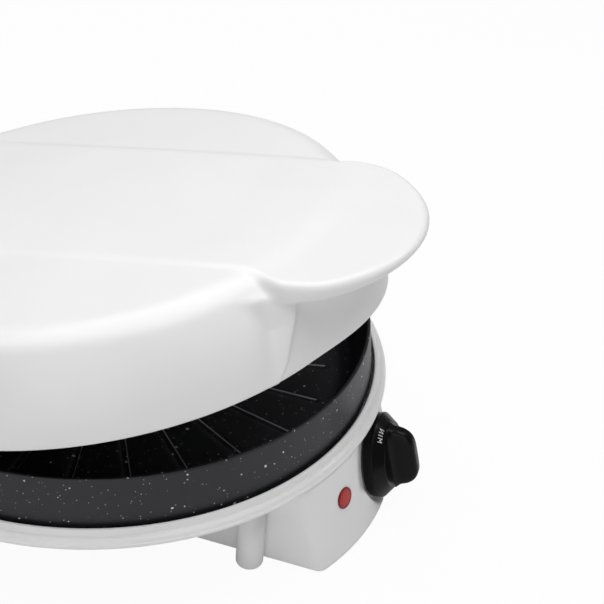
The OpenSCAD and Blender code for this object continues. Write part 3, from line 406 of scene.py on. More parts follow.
def bowl_height(radius):
    """Height of the bowl's underside at a radius."""
    slope = (BOWL_TOP[1] - BOWL_Z) / (BOWL_TOP[0] - BOWL_FLOOR_R)
    return BOWL_Z + max(0.0, radius - BOWL_FLOOR_R) * slope


# ---- The lid's surface, as one smooth field


def soft_min(a, b, k):
    """The smaller of two fields, blended over a width."""
    h = np.maximum(k - np.abs(a - b), 0) / k
    return np.minimum(a, b) - h * h * k / 4


def soft_max(a, b, k):
    """The larger of two fields, blended over a width."""
    return -soft_min(-a, -b, k)


def round_both(a, b, radius):
    """Inside both a and b, with a round edge where they meet."""
    u, v = np.maximum(a + radius, 0), np.maximum(b + radius, 0)
    return np.minimum(np.maximum(a, b), -radius) + np.hypot(u, v)


def step_up(value, low, high):
    """A smooth step from 0 to 1."""
    t = np.clip((value - low) / (high - low), 0, 1)
    return t * t * (3 - 2 * t)


def lid_wall(theta, r, z):
    """The lid's round wall with its ridges' valleys, and the ridges: one field each."""
    low = np.clip((z - LID_Z) / RIDGE_TALL, 0, 1)
    crest = np.radians(np.interp(low, RIDGE_AT, RIDGE_CREST))
    width = np.interp(low, RIDGE_AT, RIDGE_WIDTH)
    aside = r * (np.abs(theta) - crest)
    sunk = np.interp(low, RIDGE_AT, VALLEY_DEPTH) * np.exp(-(((aside - width - 3.5) / 6.0) ** 2))
    wall = np.hypot(r - WALL_R, z - WALL_Z) - WALL_ARC_R + sunk
    reach = np.interp(low, REACH_AT, REACH)
    drop = reach - WALL_R - np.sqrt(np.maximum(WALL_ARC_R**2 - (z - WALL_Z) ** 2, 1.0))
    slant = np.clip((drop + sunk) / width, 0.35, 1.3)
    face = (r - reach + slant * np.maximum(aside, 0)) / np.sqrt(1 + slant**2)
    top = z - RIDGE_TOP_Z + 0.6 * np.maximum(np.abs(r * np.sin(theta)) - 72.0, 0)
    return wall, soft_max(soft_max(face, -aside, 1.2), top, 5.0)


def lid_band(x, y, z, crown):
    """The band over the lid's top, which ends in the lip in front."""
    forward = -y
    blend = step_up(forward, 104.0, 150.0)
    lip_top = LIP_TOP_Z - LIP_FALL * (forward - LIP_START) / LIP_LENGTH
    top = (crown + 0.1) * (1 - blend) + lip_top * blend
    lip = np.hypot(x, np.minimum(y + LIP_MID_Y, 0)) - LIP_R
    half = np.where(forward > 130, 73.5 + 8.5 * step_up(forward, 132.0, 160.0), BAND_HALF - 0.0195 * forward)
    half = np.where(forward < 0, BAND_HALF - 0.04 * forward, half)
    plan = np.maximum(soft_max(lip, np.abs(x) - half, 10.0), -forward - BAND_END_Y)
    return round_both(plan, np.maximum(z - top, LIP_Z - z), 4.6)


def lid_tail(x, y, z):
    """The tail that goes down from the lid's top towards the hinge."""
    tail = np.maximum(z - np.interp(y, TAIL_AT, TAIL_TOP), TAIL_Z - z) * 0.8
    tail = round_both(np.maximum(tail, y - TAIL_END_Y), np.abs(x) - TAIL_HALF, 4.0)
    return np.maximum(tail, 120.0 - y)


def lid_field(theta, r, z):
    """Below zero inside the lid's wall; theta is 0 at the front, r and z in millimetres, lid closed."""
    x, y = r * np.sin(theta), -r * np.cos(theta)
    crown = LID_TOP_Z - 2.5 * (r / 154.3) ** 2
    wall, ridge = lid_wall(theta, r, z)
    front = np.hypot(x, y + FRONT_MID_Y) - FRONT_R
    body = soft_max(wall, z - crown, 9.0)
    body = soft_min(body, soft_max(front, z - FRONT_TOP_Z, 3.0), 6.0)
    body = soft_min(body, ridge, 2.5)
    body = soft_min(body, lid_band(x, y, z, crown), 4.0)
    body = soft_min(body, lid_tail(x, y, z), 3.0)
    hollow = soft_max(wall + LID_T, z - crown + LID_T, 9.0)
    hollow = soft_min(hollow, np.maximum(front + LID_T, z - (FRONT_TOP_Z - 5.0)), 5.0)
    shell = soft_max(body, -hollow, 1.0)
    return soft_max(shell, LID_Z - z, 2.2)


def lid_angles(count):
    """Angles round the lid, closer together where the ridges, lip and tail are."""
    fine = np.linspace(-math.pi, math.pi, 7201)
    deg = np.abs(np.degrees(fine))
    weight = 1.0 + 2.6 * np.exp(-(((deg - 30) / 6.5) ** 2)) + 0.9 * (deg < 27)
    weight += 0.8 * np.exp(-(((deg - 162) / 5) ** 2))
    total = np.concatenate([[0], np.cumsum((weight[1:] + weight[:-1]) / 2)])
    return np.interp(np.linspace(0, total[-1], count, endpoint=False), total, fine)


def trace_lid(columns, outer_rows, inner_rows, stride=0.55, steps=1150):
    """Follows the lid's section at each angle, from the top's middle over the edge and back inside."""
    theta = lid_angles(columns)

    def field(p):
        return lid_field(theta, p[:, 0], p[:, 1])

    def slope(p, e=0.04):
        gr = field(p + [e, 0]) - field(p - [e, 0])
        gz = field(p + [0, e]) - field(p - [0, e])
        return np.stack([gr, gz], -1) / (2 * e)

    def drop_on(p, times):
        for _ in range(times):
            g = slope(p)
            p = p - g * (field(p) / np.maximum((g * g).sum(-1), 0.05))[:, None]
        return p

    def along(p):
        g = slope(p)
        g /= np.linalg.norm(g, axis=-1, keepdims=True)
        return np.stack([g[:, 1], -g[:, 0]], -1) * stride

    at = drop_on(np.tile([0.4, LID_TOP_Z], (columns, 1)), 6)
    track = np.empty((steps, columns, 2))
    for i in range(steps):
        track[i] = at
        half = drop_on(at + along(at) / 2, 1)
        at = drop_on(at + along(half), 2)
    out = np.empty((outer_rows + inner_rows, columns, 2))
    u = 1 - (1 - np.linspace(0, 1, outer_rows, endpoint=False)) ** 1.35
    v = np.linspace(0, 1, inner_rows) ** 1.5
    for c in range(columns):
        path = track[:, c]
        turn = int(np.argmin(path[: steps * 3 // 4, 1]))
        after = np.where((np.arange(steps) > turn + 20) & (path[:, 0] < 1.0))[0]
        if len(after) == 0:
            raise RuntimeError("the lid's section didn't close")
        end = int(after[0])
        path = path[: end + 1]
        length = np.concatenate([[0], np.cumsum(np.linalg.norm(np.diff(path, axis=0), axis=1))])
        where = np.concatenate([u * length[turn], length[turn] + v * (length[end] - length[turn])])
        out[:, c] = np.stack([np.interp(where, length, path[:, k]) for k in (0, 1)], -1)
    return theta, out


# ---- Node trees


def fill(tree, node, inputs):
    """Sets each input of a node to a value, or links it to a socket."""
    for name, value in inputs.items():
        if isinstance(value, bpy.types.NodeSocket):
            tree.links.new(value, node.inputs[name])
        else:
            node.inputs[name].default_value = value
    return node


def add_node(tree, kind, inputs=None, **settings):
    """A new node with its settings made and its inputs filled."""
    node = tree.nodes.new(kind)
    for name, value in settings.items():
        setattr(node, name, value)
    return fill(tree, node, inputs or {})


def maths(tree, operation, a, b):
    """The result of a sum on two numbers or sockets."""
    return add_node(tree, "ShaderNodeMath", {0: a, 1: b}, operation=operation).outputs[0]


def mixed(tree, share, under, over):
    """One colour laid over another."""
    return add_node(tree, "ShaderNodeMix", {0: share, 6: under, 7: over}, data_type="RGBA").outputs[2]


def combined(tree, **parts):
    """A vector from its parts."""
    return add_node(tree, "ShaderNodeCombineXYZ", parts).outputs[0]


def new_group(kind, name, inputs, outputs):
    """An empty node group with named sockets, with its start's outputs and its end."""
    tree = bpy.data.node_groups.new(name, kind)
    for side, sockets in (("INPUT", inputs), ("OUTPUT", outputs)):
        for label, socket_type, *default in sockets:
            socket = tree.interface.new_socket(label, in_out=side, socket_type=socket_type)
            if default:
                socket.default_value = default[0]
    return tree, tree.nodes.new("NodeGroupInput").outputs, tree.nodes.new("NodeGroupOutput")


def new_shape_tree(name, inputs):
    """A Geometry Nodes tree with named inputs and a material."""
    shape, finish = ("Geometry", "NodeSocketGeometry"), ("Material", "NodeSocketMaterial")
    return new_group("GeometryNodeTree", name, [shape, *inputs, finish], [shape])


def finish_tree(tree, geometry, given, end):
    """Gives the shape its material and ends the tree with it."""
    done = add_node(tree, "GeometryNodeSetMaterial", {"Geometry": geometry, "Material": given["Material"]})
    fill(tree, end, {0: done.outputs[0]})
    return tree


def ring_tree():
    """Repeats a sector round the vertical axis through a point and welds the seams."""
    tree, given, end = new_shape_tree(
        "Repeat round the axis", [("Count", "NodeSocketInt", 24), ("Centre Y", "NodeSocketFloat", 0.0)]
    )
    points = add_node(tree, "GeometryNodePoints", {"Count": given["Count"]}).outputs[0]
    placed = {"Points": points, "Instance": given["Geometry"]}
    copies = add_node(tree, "GeometryNodeInstanceOnPoints", placed)
    index = add_node(tree, "GeometryNodeInputIndex").outputs[0]
    angle = maths(tree, "MULTIPLY", index, maths(tree, "DIVIDE", 2 * math.pi, given["Count"]))
    turn = {"Rotation": combined(tree, Z=angle), "Pivot Point": combined(tree, Y=given["Centre Y"])}
    turned = add_node(
        tree, "GeometryNodeRotateInstances", {"Instances": copies.outputs[0], "Local Space": False, **turn}
    )
    real = add_node(tree, "GeometryNodeRealizeInstances", {0: turned.outputs[0]}).outputs[0]
    welded = add_node(tree, "GeometryNodeMergeByDistance", {"Geometry": real, "Distance": 2e-5})
    return finish_tree(tree, welded.outputs[0], given, end)


def screw_tree():
    """Puts a cross-head screw on each point, its head facing along the axis."""
    tree, given, end = new_shape_tree(
        "Cross-head screws",
        [
            ("Head Radius", "NodeSocketFloat", 0.0032),
            ("Head Height", "NodeSocketFloat", 0.002),
            ("Shank Radius", "NodeSocketFloat", 0.0017),
            ("Shank Length", "NodeSocketFloat", 0.01),
            ("Axis", "NodeSocketVector", (0.0, 0.0, -1.0)),
        ],
    )
    radius, height, length = given["Head Radius"], given["Head Height"], given["Shank Length"]

    def lifted(node, by):
        lift = {"Geometry": node.outputs["Mesh"], "Translation": combined(tree, Z=by)}
        return add_node(tree, "GeometryNodeTransform", lift).outputs[0]

    top = maths(tree, "MULTIPLY", radius, 0.78)
    head = add_node(
        tree, "GeometryNodeMeshCone",
        {"Vertices": 32, "Side Segments": 3, "Radius Top": top, "Radius Bottom": radius, "Depth": height},
    )
    shank = add_node(
        tree, "GeometryNodeMeshCylinder", {"Vertices": 24, "Radius": given["Shank Radius"], "Depth": length}
    )
    carved = add_node(tree, "GeometryNodeMeshBoolean", {0: head.outputs["Mesh"]}, operation="DIFFERENCE")
    shares = (radius, 1.1), (radius, 0.26), (height, 1.2)
    long, thin, deep = (maths(tree, "MULTIPLY", size, share) for size, share in shares)
    for x, y in ((long, thin), (thin, long)):
        slot = add_node(tree, "GeometryNodeMeshCube", {"Size": combined(tree, X=x, Y=y, Z=deep)})
        fill(tree, carved, {1: lifted(slot, height)})
    screw = add_node(tree, "GeometryNodeJoinGeometry", {0: carved.outputs[0]})
    fill(tree, screw, {0: lifted(shank, maths(tree, "MULTIPLY", length, -0.5))})
    aim = add_node(tree, "FunctionNodeAlignRotationToVector", {"Vector": given["Axis"]}, axis="Z")
    placed = {"Points": given["Geometry"], "Instance": screw.outputs[0], "Rotation": aim.outputs[0]}
    copies = add_node(tree, "GeometryNodeInstanceOnPoints", placed)
    real = add_node(tree, "GeometryNodeRealizeInstances", {0: copies.outputs[0]})
    return finish_tree(tree, real.outputs[0], given, end)


def run_tree(piece, tree, values):
    """Gives a piece the tree as a modifier, sets its inputs and keeps the result as plain mesh."""
    modifier = piece.modifiers.new(tree.name, "NODES")
    modifier.node_group = tree
    for item in tree.interface.items_tree:
        if item.item_type == "SOCKET" and item.in_out == "INPUT" and item.name in values:
            modifier[item.identifier] = values[item.name]
    settle(piece)


# ---- Materials


def grain_group():
    """Fine surface waviness of a moulded or cast face: a normal and a slow variation."""
    group, given, end = new_group(
        "ShaderNodeTree", "Surface grain",
        [(label, "NodeSocketFloat", value) for label, value in zip(GRAIN_INPUTS, PLAIN_GRAIN)],
        [("Normal", "NodeSocketVector"), ("Variation", "NodeSocketFloat")],
    )
    place = add_node(group, "ShaderNodeTexCoord").outputs["Object"]

    def noise(scale, detail):
        values = {"Vector": place, "Scale": given[scale], "Detail": detail}
        return add_node(group, "ShaderNodeTexNoise", values).outputs["Fac"]

    fine = {"Strength": given["Depth"], "Distance": 0.0002, "Height": noise("Scale", 3.0)}
    bump = add_node(group, "ShaderNodeBump", fine)
    fill(group, end, {"Normal": bump.outputs["Normal"], "Variation": noise("Cloud Scale", 4.0)})


def speck_group():
    """Scattered mineral specks of a stone-look coating: a mask and each speck's tint."""
    sizes = ("Scale", 180.0), ("Size", 0.12), ("Share", 0.2)
    group, given, end = new_group(
        "ShaderNodeTree", "Coating specks",
        [(label, "NodeSocketFloat", value) for label, value in sizes],
        [("Mask", "NodeSocketFloat"), ("Tint", "NodeSocketFloat")],
    )
    place = add_node(group, "ShaderNodeTexCoord").outputs["Object"]
    warp = add_node(group, "ShaderNodeTexNoise", {"Vector": place, "Scale": 700.0}).outputs["Color"]
    warping = {0: warp, 1: (0.0012, 0.0012, 0.0012), 2: place}
    warped = add_node(group, "ShaderNodeVectorMath", warping, operation="MULTIPLY_ADD")
    cells = add_node(group, "ShaderNodeTexVoronoi", {"Vector": warped.outputs[0], "Scale": given["Scale"]})
    random = add_node(group, "ShaderNodeSeparateColor", {0: cells.outputs["Color"]}).outputs
    size = maths(group, "MULTIPLY", given["Size"], random[1])
    near = maths(group, "LESS_THAN", cells.outputs["Distance"], size)
    few = maths(group, "LESS_THAN", random[0], given["Share"])
    fill(group, end, {"Mask": maths(group, "MULTIPLY", near, few), "Tint": random[2]})


def new_material(name):
    """A material with its node tree and its shader."""
    material = bpy.data.materials.new(name)
    material.use_nodes = True
    return material, material.node_tree, material.node_tree.nodes["Principled BSDF"]


def surface(
    name, colour, roughness, metallic=0.0, grain=PLAIN_GRAIN, spread=0.04, tone=0.03, coat=0.0, gloss=0.5
):
    """A plain finish: base colour and roughness that vary a little over the surface, with fine grain."""
    material, tree, shader = new_material(name)
    group = add_node(tree, "ShaderNodeGroup", node_tree=bpy.data.node_groups["Surface grain"])
    fill(tree, group, dict(zip(GRAIN_INPUTS, grain)))
    variation = group.outputs["Variation"]
    ends = {"To Min": max(0.02, roughness - spread), "To Max": roughness + spread}
    rough = add_node(tree, "ShaderNodeMapRange", {"Value": variation, **ends})
    dark, pale = (tuple(min(1.0, c * (1 + side * tone)) for c in colour) + (1.0,) for side in (-1, 1))
    fill(
        tree, shader,
        {
            "Metallic": metallic, "Specular IOR Level": gloss, "Coat Weight": coat, "Coat Roughness": 0.12,
            "Normal": group.outputs["Normal"], "Roughness": rough.outputs[0],
            "Base Color": mixed(tree, variation, dark, pale),
        },
    )
    return material


def recoloured(material, change):
    """Puts a change between a finish and the colour it has."""
    tree, shader = material.node_tree, material.node_tree.nodes["Principled BSDF"]
    colour = shader.inputs["Base Color"].links[0].from_socket
    fill(tree, shader, {"Base Color": change(tree, colour)})
    return material


def with_specks_and_groove_glint(tree, colour):
    """Pale and brownish specks over a colour, and a painted highlight on one wall of each groove."""
    for scale, size, share, pale, brown in SPECKS:
        group = add_node(tree, "ShaderNodeGroup", node_tree=bpy.data.node_groups["Coating specks"])
        fill(tree, group, {"Scale": scale, "Size": size, "Share": share})
        tint = mixed(tree, group.outputs["Tint"], pale, brown)
        colour = mixed(tree, group.outputs["Mask"], colour, tint)
    # Painted highlight: the marked wall of each groove is made pale
    wall = add_node(tree, "ShaderNodeAttribute", attribute_name="groove_glint")
    return mixed(tree, wall.outputs["Fac"], colour, GROOVE_GLINT_COLOUR)


def speckled(name, colour, roughness):
    """The pan's dark coating."""
    return recoloured(surface(name, colour, roughness, 0.0, (1500.0, 0.12, 30.0), 0.05, 0.12), with_specks_and_groove_glint)


def lens_material(name, colour):
    """Clear red plastic, darker at its rim."""
    dark = (colour[0] * 0.45, colour[1] * 0.3, colour[2] * 0.3, 1.0)

    def with_rim(tree, middle):
        rim = add_node(tree, "ShaderNodeAttribute", attribute_name="rim")
        return mixed(tree, rim.outputs["Fac"], middle, dark)

    clear = surface(name, colour, 0.2, grain=(700.0, 0.03, 60.0), coat=0.1, gloss=0.3)
    scatter = {"Subsurface Weight": 0.05, "Subsurface Radius": (0.002, 0.0004, 0.0003)}
    fill(clear.node_tree, clear.node_tree.nodes["Principled BSDF"], scatter)
    return recoloured(clear, with_rim)


def finishes():
    """Every finish of the object, by the name of its slot."""
    grain_group()
    speck_group()
    look = bpy.context.scene.pizza_maker_finishes
    return {
        "white_plastic": surface(
            "White moulding", tuple(look.white), look.white_roughness, coat=0.08, gloss=0.35
        ),
        "black_plastic": surface(
            "Gloss black moulding", tuple(look.black), 0.24, 0.0, (1200.0, 0.05, 40.0), 0.05, gloss=0.15
        ),
        "red_lens": lens_material("Red lens", tuple(look.red)),
        "ivory_plastic": surface("Ivory moulding", (0.78, 0.74, 0.62), 0.42),
        "pan_coating": speckled("Speckled coating", tuple(look.pan), look.pan_roughness),
        "plated_steel": surface(
            "Zinc plate", (0.62, 0.63, 0.64), 0.32, 1.0, (1500.0, 0.1, 90.0), 0.08, 0.08
        ),
        "shield_sheet": surface(
            "Reflector sheet", (0.42, 0.42, 0.42), 0.38, 1.0, (400.0, 0.1, 14.0), 0.08, 0.12
        ),
        "element_sheath": surface(
            "Heat-darkened sheath", (0.12, 0.11, 0.1), 0.5, 0.8, (800.0, 0.2, 60.0), 0.1, 0.3
        ),
        "copper": surface("Drawn copper", (0.6, 0.3, 0.18), 0.35, 1.0, (900.0, 0.1, 60.0)),
        "ceramic": surface("Ceramic", (0.8, 0.78, 0.72), 0.45, grain=(1100.0, 0.1, 50.0)),
        "lead_cover": surface(
            "Glass-fibre sleeve", (0.7, 0.68, 0.62), 0.8, grain=(2600.0, 0.6, 120.0), tone=0.12
        ),
        "bush": surface("Turned bronze", (0.55, 0.4, 0.18), 0.3, 1.0, (1300.0, 0.1, 80.0)),
        "rubber": surface("Black rubber", (0.03, 0.03, 0.03), 0.75, grain=(1800.0, 0.4, 60.0), tone=0.15),
        "ink": surface("White ink", (0.75, 0.76, 0.78), 0.5, grain=(2000.0, 0.05, 90.0)),
    }


def paint(piece, slot):
    """Gives a piece the finish of one of the record's slots."""
    material = FINISH[slot]
    if len(piece.data.materials) == 0:
        piece.data.materials.append(material)
    for i in range(len(piece.data.materials)):
        piece.data.materials[i] = material


FINISH = {}


# ---- What a user would change


class PizzaMakerSizes(bpy.types.PropertyGroup):
    """Sizes of the surfaces that the frame leaves to the looks."""

    lid_columns: bpy.props.IntProperty(
        name="Lid columns", description="Sections traced round the lid", default=410, min=120, max=600
    )
    lid_rows: bpy.props.IntProperty(
        name="Lid rows", description="Points along the lid's outside section", default=176, min=60, max=300
    )
    groove_count: bpy.props.IntProperty(
        name="Grooves", description="Grooves pressed in the pan's floor", default=24, min=12, max=30
    )
    groove_depth: bpy.props.FloatProperty(
        name="Groove depth", description="Depth of the pan's grooves", default=0.001, unit="LENGTH"
    )
    groove_width: bpy.props.FloatProperty(
        name="Groove width", description="Width of the pan's grooves", default=0.0045, unit="LENGTH"
    )
    corner_radius: bpy.props.FloatProperty(
        name="Housing corners", description="Radius of the housing's upright corners",
        default=0.007, unit="LENGTH",
    )


class PizzaMakerFinishes(bpy.types.PropertyGroup):
    """Colours and gloss of the main materials."""

    white: bpy.props.FloatVectorProperty(
        name="White", description="Colour of the white mouldings", subtype="COLOR",
        default=(0.86, 0.855, 0.86),
    )
    white_roughness: bpy.props.FloatProperty(
        name="White roughness", description="Roughness of the white mouldings",
        default=0.3, subtype="FACTOR",
    )
    black: bpy.props.FloatVectorProperty(
        name="Black", description="Colour of the dial", subtype="COLOR", default=(0.003, 0.003, 0.0035)
    )
    red: bpy.props.FloatVectorProperty(
        name="Red", description="Colour of the lamp's lens", subtype="COLOR", default=(0.5, 0.018, 0.018)
    )
    pan: bpy.props.FloatVectorProperty(
        name="Pan", description="Colour of the pan's coating", subtype="COLOR",
        default=(0.009, 0.0095, 0.0145),
    )
    pan_roughness: bpy.props.FloatProperty(
        name="Pan roughness", description="Roughness of the pan's coating", default=0.42, subtype="FACTOR"
    )


# ---- The pieces


class PIZZA_OT_finishes(bpy.types.Operator):
    """Makes the materials and gives each carried frame node its own"""

    bl_idname = "pizza_maker.finishes"
    bl_label = "Finishes"

    def execute(self, context):
        FINISH.update(finishes())
        for entry in frame["record"]["subparts"]:
            paint(frame["nodes"][entry["node"]], entry["material_slot"])
        return {"FINISHED"}


class PIZZA_OT_lid(bpy.types.Operator):
    """Builds the lid's cover with its band, lip, ridges and tail, and the two hinge arms"""

    bl_idname = "pizza_maker.lid"
    bl_label = "Lid"

    def execute(self, context):
        sizes = context.scene.pizza_maker_sizes
        theta, section = trace_lid(sizes.lid_columns, sizes.lid_rows, LID_INNER_ROWS)
        rows, columns = section.shape[:2]
        r, z = section[..., 0], section[..., 1]
        points = np.stack([r * np.sin(theta), -r * np.cos(theta), z], -1).reshape(-1, 3)
        top, under = np.mean(points[:columns], axis=0), np.mean(points[-columns:], axis=0)
        points = np.vstack([points, [[0, 0, top[2]]], [[0, 0, under[2]]]])
        faces = grid_faces(rows, columns)
        faces += cap(len(points) - 2, 0, columns, outwards=False)
        faces += cap(len(points) - 1, (rows - 1) * columns, columns)
        cover = make_object("lid_cover", lid_at_rest(points), faces)
        face_outwards(cover)
        paint(cover, "white_plastic")
        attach(cover, "lid")
        outline = [(181, 86), (184, 112), (194, 108), (201, 92), (214, 84)]
        outline += arc(PIN, 9.5, map(math.radians, range(30, -151, -15))) + [(192, 74)]
        arms = on_both_sides("lid_arms", outline, *ARM_X, 1.6, lid_at_rest)
        paint(arms, "white_plastic")
        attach(arms, "lid")
        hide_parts("lid_shell")
        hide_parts("lid_shell")
        return {"FINISHED"}


class PIZZA_OT_base(bpy.types.Operator):
    """Builds the base ring with its bowl, the control housing, the posts and the hinge towers"""

    bl_idname = "pizza_maker.base"
    bl_label = "Base"

    def execute(self, context):
        ring = self.ring()
        housing = self.housing(context)
        crease_by_angle(ring, 45)
        posts = joined("posts", [self.post(x, y) for x in (-POST_X, POST_X) for y in (-POST_Y, POST_Y)])
        outline = [(168, 46), (182, 46), (209, 64)]
        outline += arc(PIN, 10, map(math.radians, range(-50, 111, 16))) + [(188, 69), (168, 60)]
        towers = on_both_sides("hinge_towers", outline, *TOWER_X, 1.4)
        for piece in (ring, housing, posts, towers):
            paint(piece, "white_plastic")
            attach(piece, "base")
            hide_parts("base_shell")
        return {"FINISHED"}

    def ring(self):
        """The bowl and the ring round it: up the inside, over the stepped lip, and back below."""
        lip_r, lip_z, edge_z = RING_LIP_R, RING_LIP_Z, RING_EDGE_Z
        corners = [
            (0, BOWL_Z + WALL_T), (BOWL_FLOOR_R - 0.6, BOWL_Z + WALL_T), (BOWL_TOP[0] - 3.4, BOWL_TOP[1]),
            (lip_r, BOWL_TOP[1] + 5), (lip_r, lip_z),
            (lip_r + 1.9, lip_z), (lip_r + 3.3, lip_z - 3.5), (lip_r + 3.9, lip_z - 3.9),
            (lip_r + 4.5, lip_z - 3.3), (lip_r + 6.6, lip_z - 4.3), (RING_R - 1.1, edge_z + 1.5),
            (RING_R - 0.9, edge_z + 0.9), (RING_R - 0.2, edge_z + 0.7), (RING_R, edge_z - 0.8),
            (RING_R - 0.8, edge_z - 1.9), (RING_R - 4, edge_z - 2.6),
            BOWL_TOP, (BOWL_FLOOR_R, BOWL_Z), (0, BOWL_Z),
        ]
        radii = [0, 4, 3, 2, 0.8, 0.8, 0.5, 0.3, 0.5, 1.6, 0.8, 0.3, 0.6, 0.9, 0.8, 1.5, 2.5, 6, 0]
        return spin("base_ring", rounded(corners, radii, 5, closed=False), 320)

    def post(self, x, y):
        """A round foot from just above the floor up into the bowl."""
        top = bowl_height(math.hypot(x, y)) + 3.0
        section = rounded([(0, 1), (POST_R, 1), (POST_R, top), (0, top)], [0, 2.2, 0, 0], 6, closed=False)
        return spin("post", section, 48, lambda points: points + [x, y, 0])

    def outline(self, height, inset, radius):
        """The housing's outline at a height, always with the same number of points."""
        front = face_radius(height) - inset
        side, back = BOX_RIGHT - BOX_MID_X - inset, BOX_BACK_Y - inset - BOX_MID_Y
        # Centre of the fillet between the side wall and the round front
        cx = side - radius
        cy = -math.sqrt((front - radius) ** 2 - cx**2)
        start = math.atan2(cy, cx)
        points = arc((side - 2, back - 2), 2, np.linspace(math.pi / 2, 0, 9))
        points += [(side, (back - 2) * (1 - t) + cy * t) for t in np.linspace(0, 1, 17)[1:-1]]
        points += arc((cx, cy), radius, np.linspace(0, start, 17))
        points += arc((0, 0), front, np.linspace(start, -math.pi / 2, 71)[1:])
        points += [(-x, y) for x, y in points[:-1]][::-1]
        return [(x + BOX_MID_X, y + BOX_MID_Y) for x, y in points]

    def housing(self, context):
        """Walls of the control housing as one closed loop, from its lower edge up into the bowl."""
        radius = context.scene.pizza_maker_sizes.corner_radius / MM
        tops = []
        for x, y in self.outline(BOX_Z, 0, radius):
            ahead = BOX_ARC_R - face_radius(50) if y < BOX_FRONT_Y else 0.0
            tops.append(min(bowl_height(math.hypot(x, y) - ahead) + 1.3, RING_EDGE_Z - 1.5))
        tops = np.array(tops)

        def loop(share, inset, low):
            heights = low + (tops - low) * share
            corner = max(radius - inset, 0.5)
            points = [self.outline(h, inset, corner)[i] + (h,) for i, h in enumerate(heights)]
            return self.dished(np.array(points), inset)

        loops = [loop(t, 0.0, BOX_Z + 1.2) for t in np.linspace(1, 0, 31)]
        edge = (0.35, 0.35), (1.2, 0.0), (WALL_T - 0.3, 0.3)
        loops += [loop(0.0, inset, BOX_Z + rise) for inset, rise in edge]
        loops += [loop(t, WALL_T, BOX_Z + 1.0) for t in np.linspace(0, 1, 16)]
        faces = grid_faces(len(loops), len(tops)) + bridge((len(loops) - 1) * len(tops), len(tops))
        piece = make_object("control_housing", np.concatenate(loops), faces)
        face_outwards(piece)
        return piece

    def dished(self, points, inset):
        """Sinks the front into a shallow seat round the dial, steep below it and soft towards the lamp."""
        place = dial_place()
        local = put_back(points, place)
        away = np.hypot(local[:, 0], local[:, 1])
        steep = 0.3 + 4.2 * np.clip(-local[:, 1] / 20, 0, 1) ** 1.5
        floor = 0.3 - inset + steep * np.maximum(away - SEAT_R, 0)
        sunk = np.where(points[:, 1] < BOX_FRONT_Y, soft_min(local[:, 2], floor, 1.6), local[:, 2])
        local[:, 2] = np.where(away < 60, sunk, local[:, 2])
        return moved(local, place)


class PIZZA_OT_pan(bpy.types.Operator):
    """Builds the pan with its rolled rim and its pressed grooves"""

    bl_idname = "pizza_maker.pan"
    bl_label = "Pan"

    def execute(self, context):
        sizes = context.scene.pizza_maker_sizes
        count = sizes.groove_count
        sector = self.sector(count, sizes.groove_depth / MM, sizes.groove_width / MM / 2)
        values = {"Count": count, "Centre Y": AXIS_Y * MM, "Material": FINISH["pan_coating"]}
        run_tree(sector, ring_tree(), values)
        face_outwards(sector)
        shade(sector.data)
        paint(sector, "pan_coating")
        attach(sector, "base")
        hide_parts("pan")
        return {"FINISHED"}

    def on_floor(self, height):
        """Whether a height is the inner floor's."""
        return abs(height - PAN_FLOOR_Z) < 0.01

    def section(self):
        """From the floor's middle up the inside, over the rim and back to the middle below."""
        skirt_in = SKIRT_R - SKIRT_T
        corners = [
            (0, PAN_FLOOR_Z), (PAN_FLOOR_R - 9.5, PAN_FLOOR_Z), (PAN_FLOOR_R - PAN_T + 0.3, PAN_FLOOR_Z + 7),
            (PAN_R - PAN_T, PAN_RIM_Z - 1.0), (PAN_R - PAN_T + 0.3, PAN_RIM_Z), (PAN_R - 0.3, PAN_RIM_Z),
            (PAN_R, PAN_RIM_Z - 1.4), (SKIRT_R, SKIRT_Z), (skirt_in, SKIRT_Z),
            (PAN_R - 1.5, PAN_RIM_Z - 8.0), (PAN_FLOOR_R + 0.5, PAN_FLOOR_Z + 4.5),
            (PAN_FLOOR_R - 7, PAN_FLOOR_Z - PAN_T), (0, PAN_FLOOR_Z - PAN_T),
        ]
        radii = [0, 9, 7, 0.6, 0.8, 0.8, 0.6, 0.7, 0.7, 0.4, 8, 6, 0]
        section = rounded(corners, radii, 6, closed=False)
        dense = [section[0]]
        for a, b in zip(section[:-1], section[1:]):
            stride = 1.6 if self.on_floor(a[1]) and self.on_floor(b[1]) else 6.0
            steps = max(1, int(np.linalg.norm(b - a) / stride))
            dense += [a + (b - a) * k / steps for k in range(1, steps + 1)]
        return dense

    def sector(self, count, depth, half):
        """The pan's share round one groove of a depth and half width, with one wall marked for a painted
        highlight.
        """
        across = [-half - 0.35, -half, -half + 0.75, -0.3 * half, 0.3 * half, half - 0.6, half, half + 0.35]
        across = np.array(across)
        drop = (0.0, 0.12, 0.97, 1.0, 1.0, 0.97, 0.12, 0.0)
        limit = math.pi / count
        section = self.section()
        points, glint_marks = [], []
        for r, z in section:
            near = across / max(r, 1e-6)
            squeeze = min(1.0, 0.72 * limit / max(near[-1], 1e-9))
            near = near * squeeze
            sides = np.linspace(near[-1], limit, SIDE_COLUMNS + 1)[1:]
            past = max(GROOVE_START_R + half - r, r - (GROOVE_END_R - half), 0.0)
            for j, a in enumerate(np.concatenate([-sides[::-1], near, sides])):
                k, low = j - SIDE_COLUMNS, 0.0
                if self.on_floor(z) and 0 <= k < len(across) and squeeze >= 1.0:
                    reach = math.hypot(across[k], past) - half
                    low = depth * min(1.0, max(0.0, (0.35 - reach) / 1.1)) if past > 0 else depth * drop[k]
                a -= math.pi / 2
                points.append((r * math.cos(a), r * math.sin(a), z - low))
                # Painted highlight: one wall of each groove is marked so that it is made pale
                glint_marks.append(0.75 if 0.05 < low / depth < 0.5 and k == 6 else 0.0)
        faces = grid_faces(len(section), len(across) + 2 * SIDE_COLUMNS, wrap=False)
        piece = make_object("pan_body", points, faces)
        piece.data.attributes.new("groove_glint", "FLOAT", "POINT").data.foreach_set("value", glint_marks)
        return piece


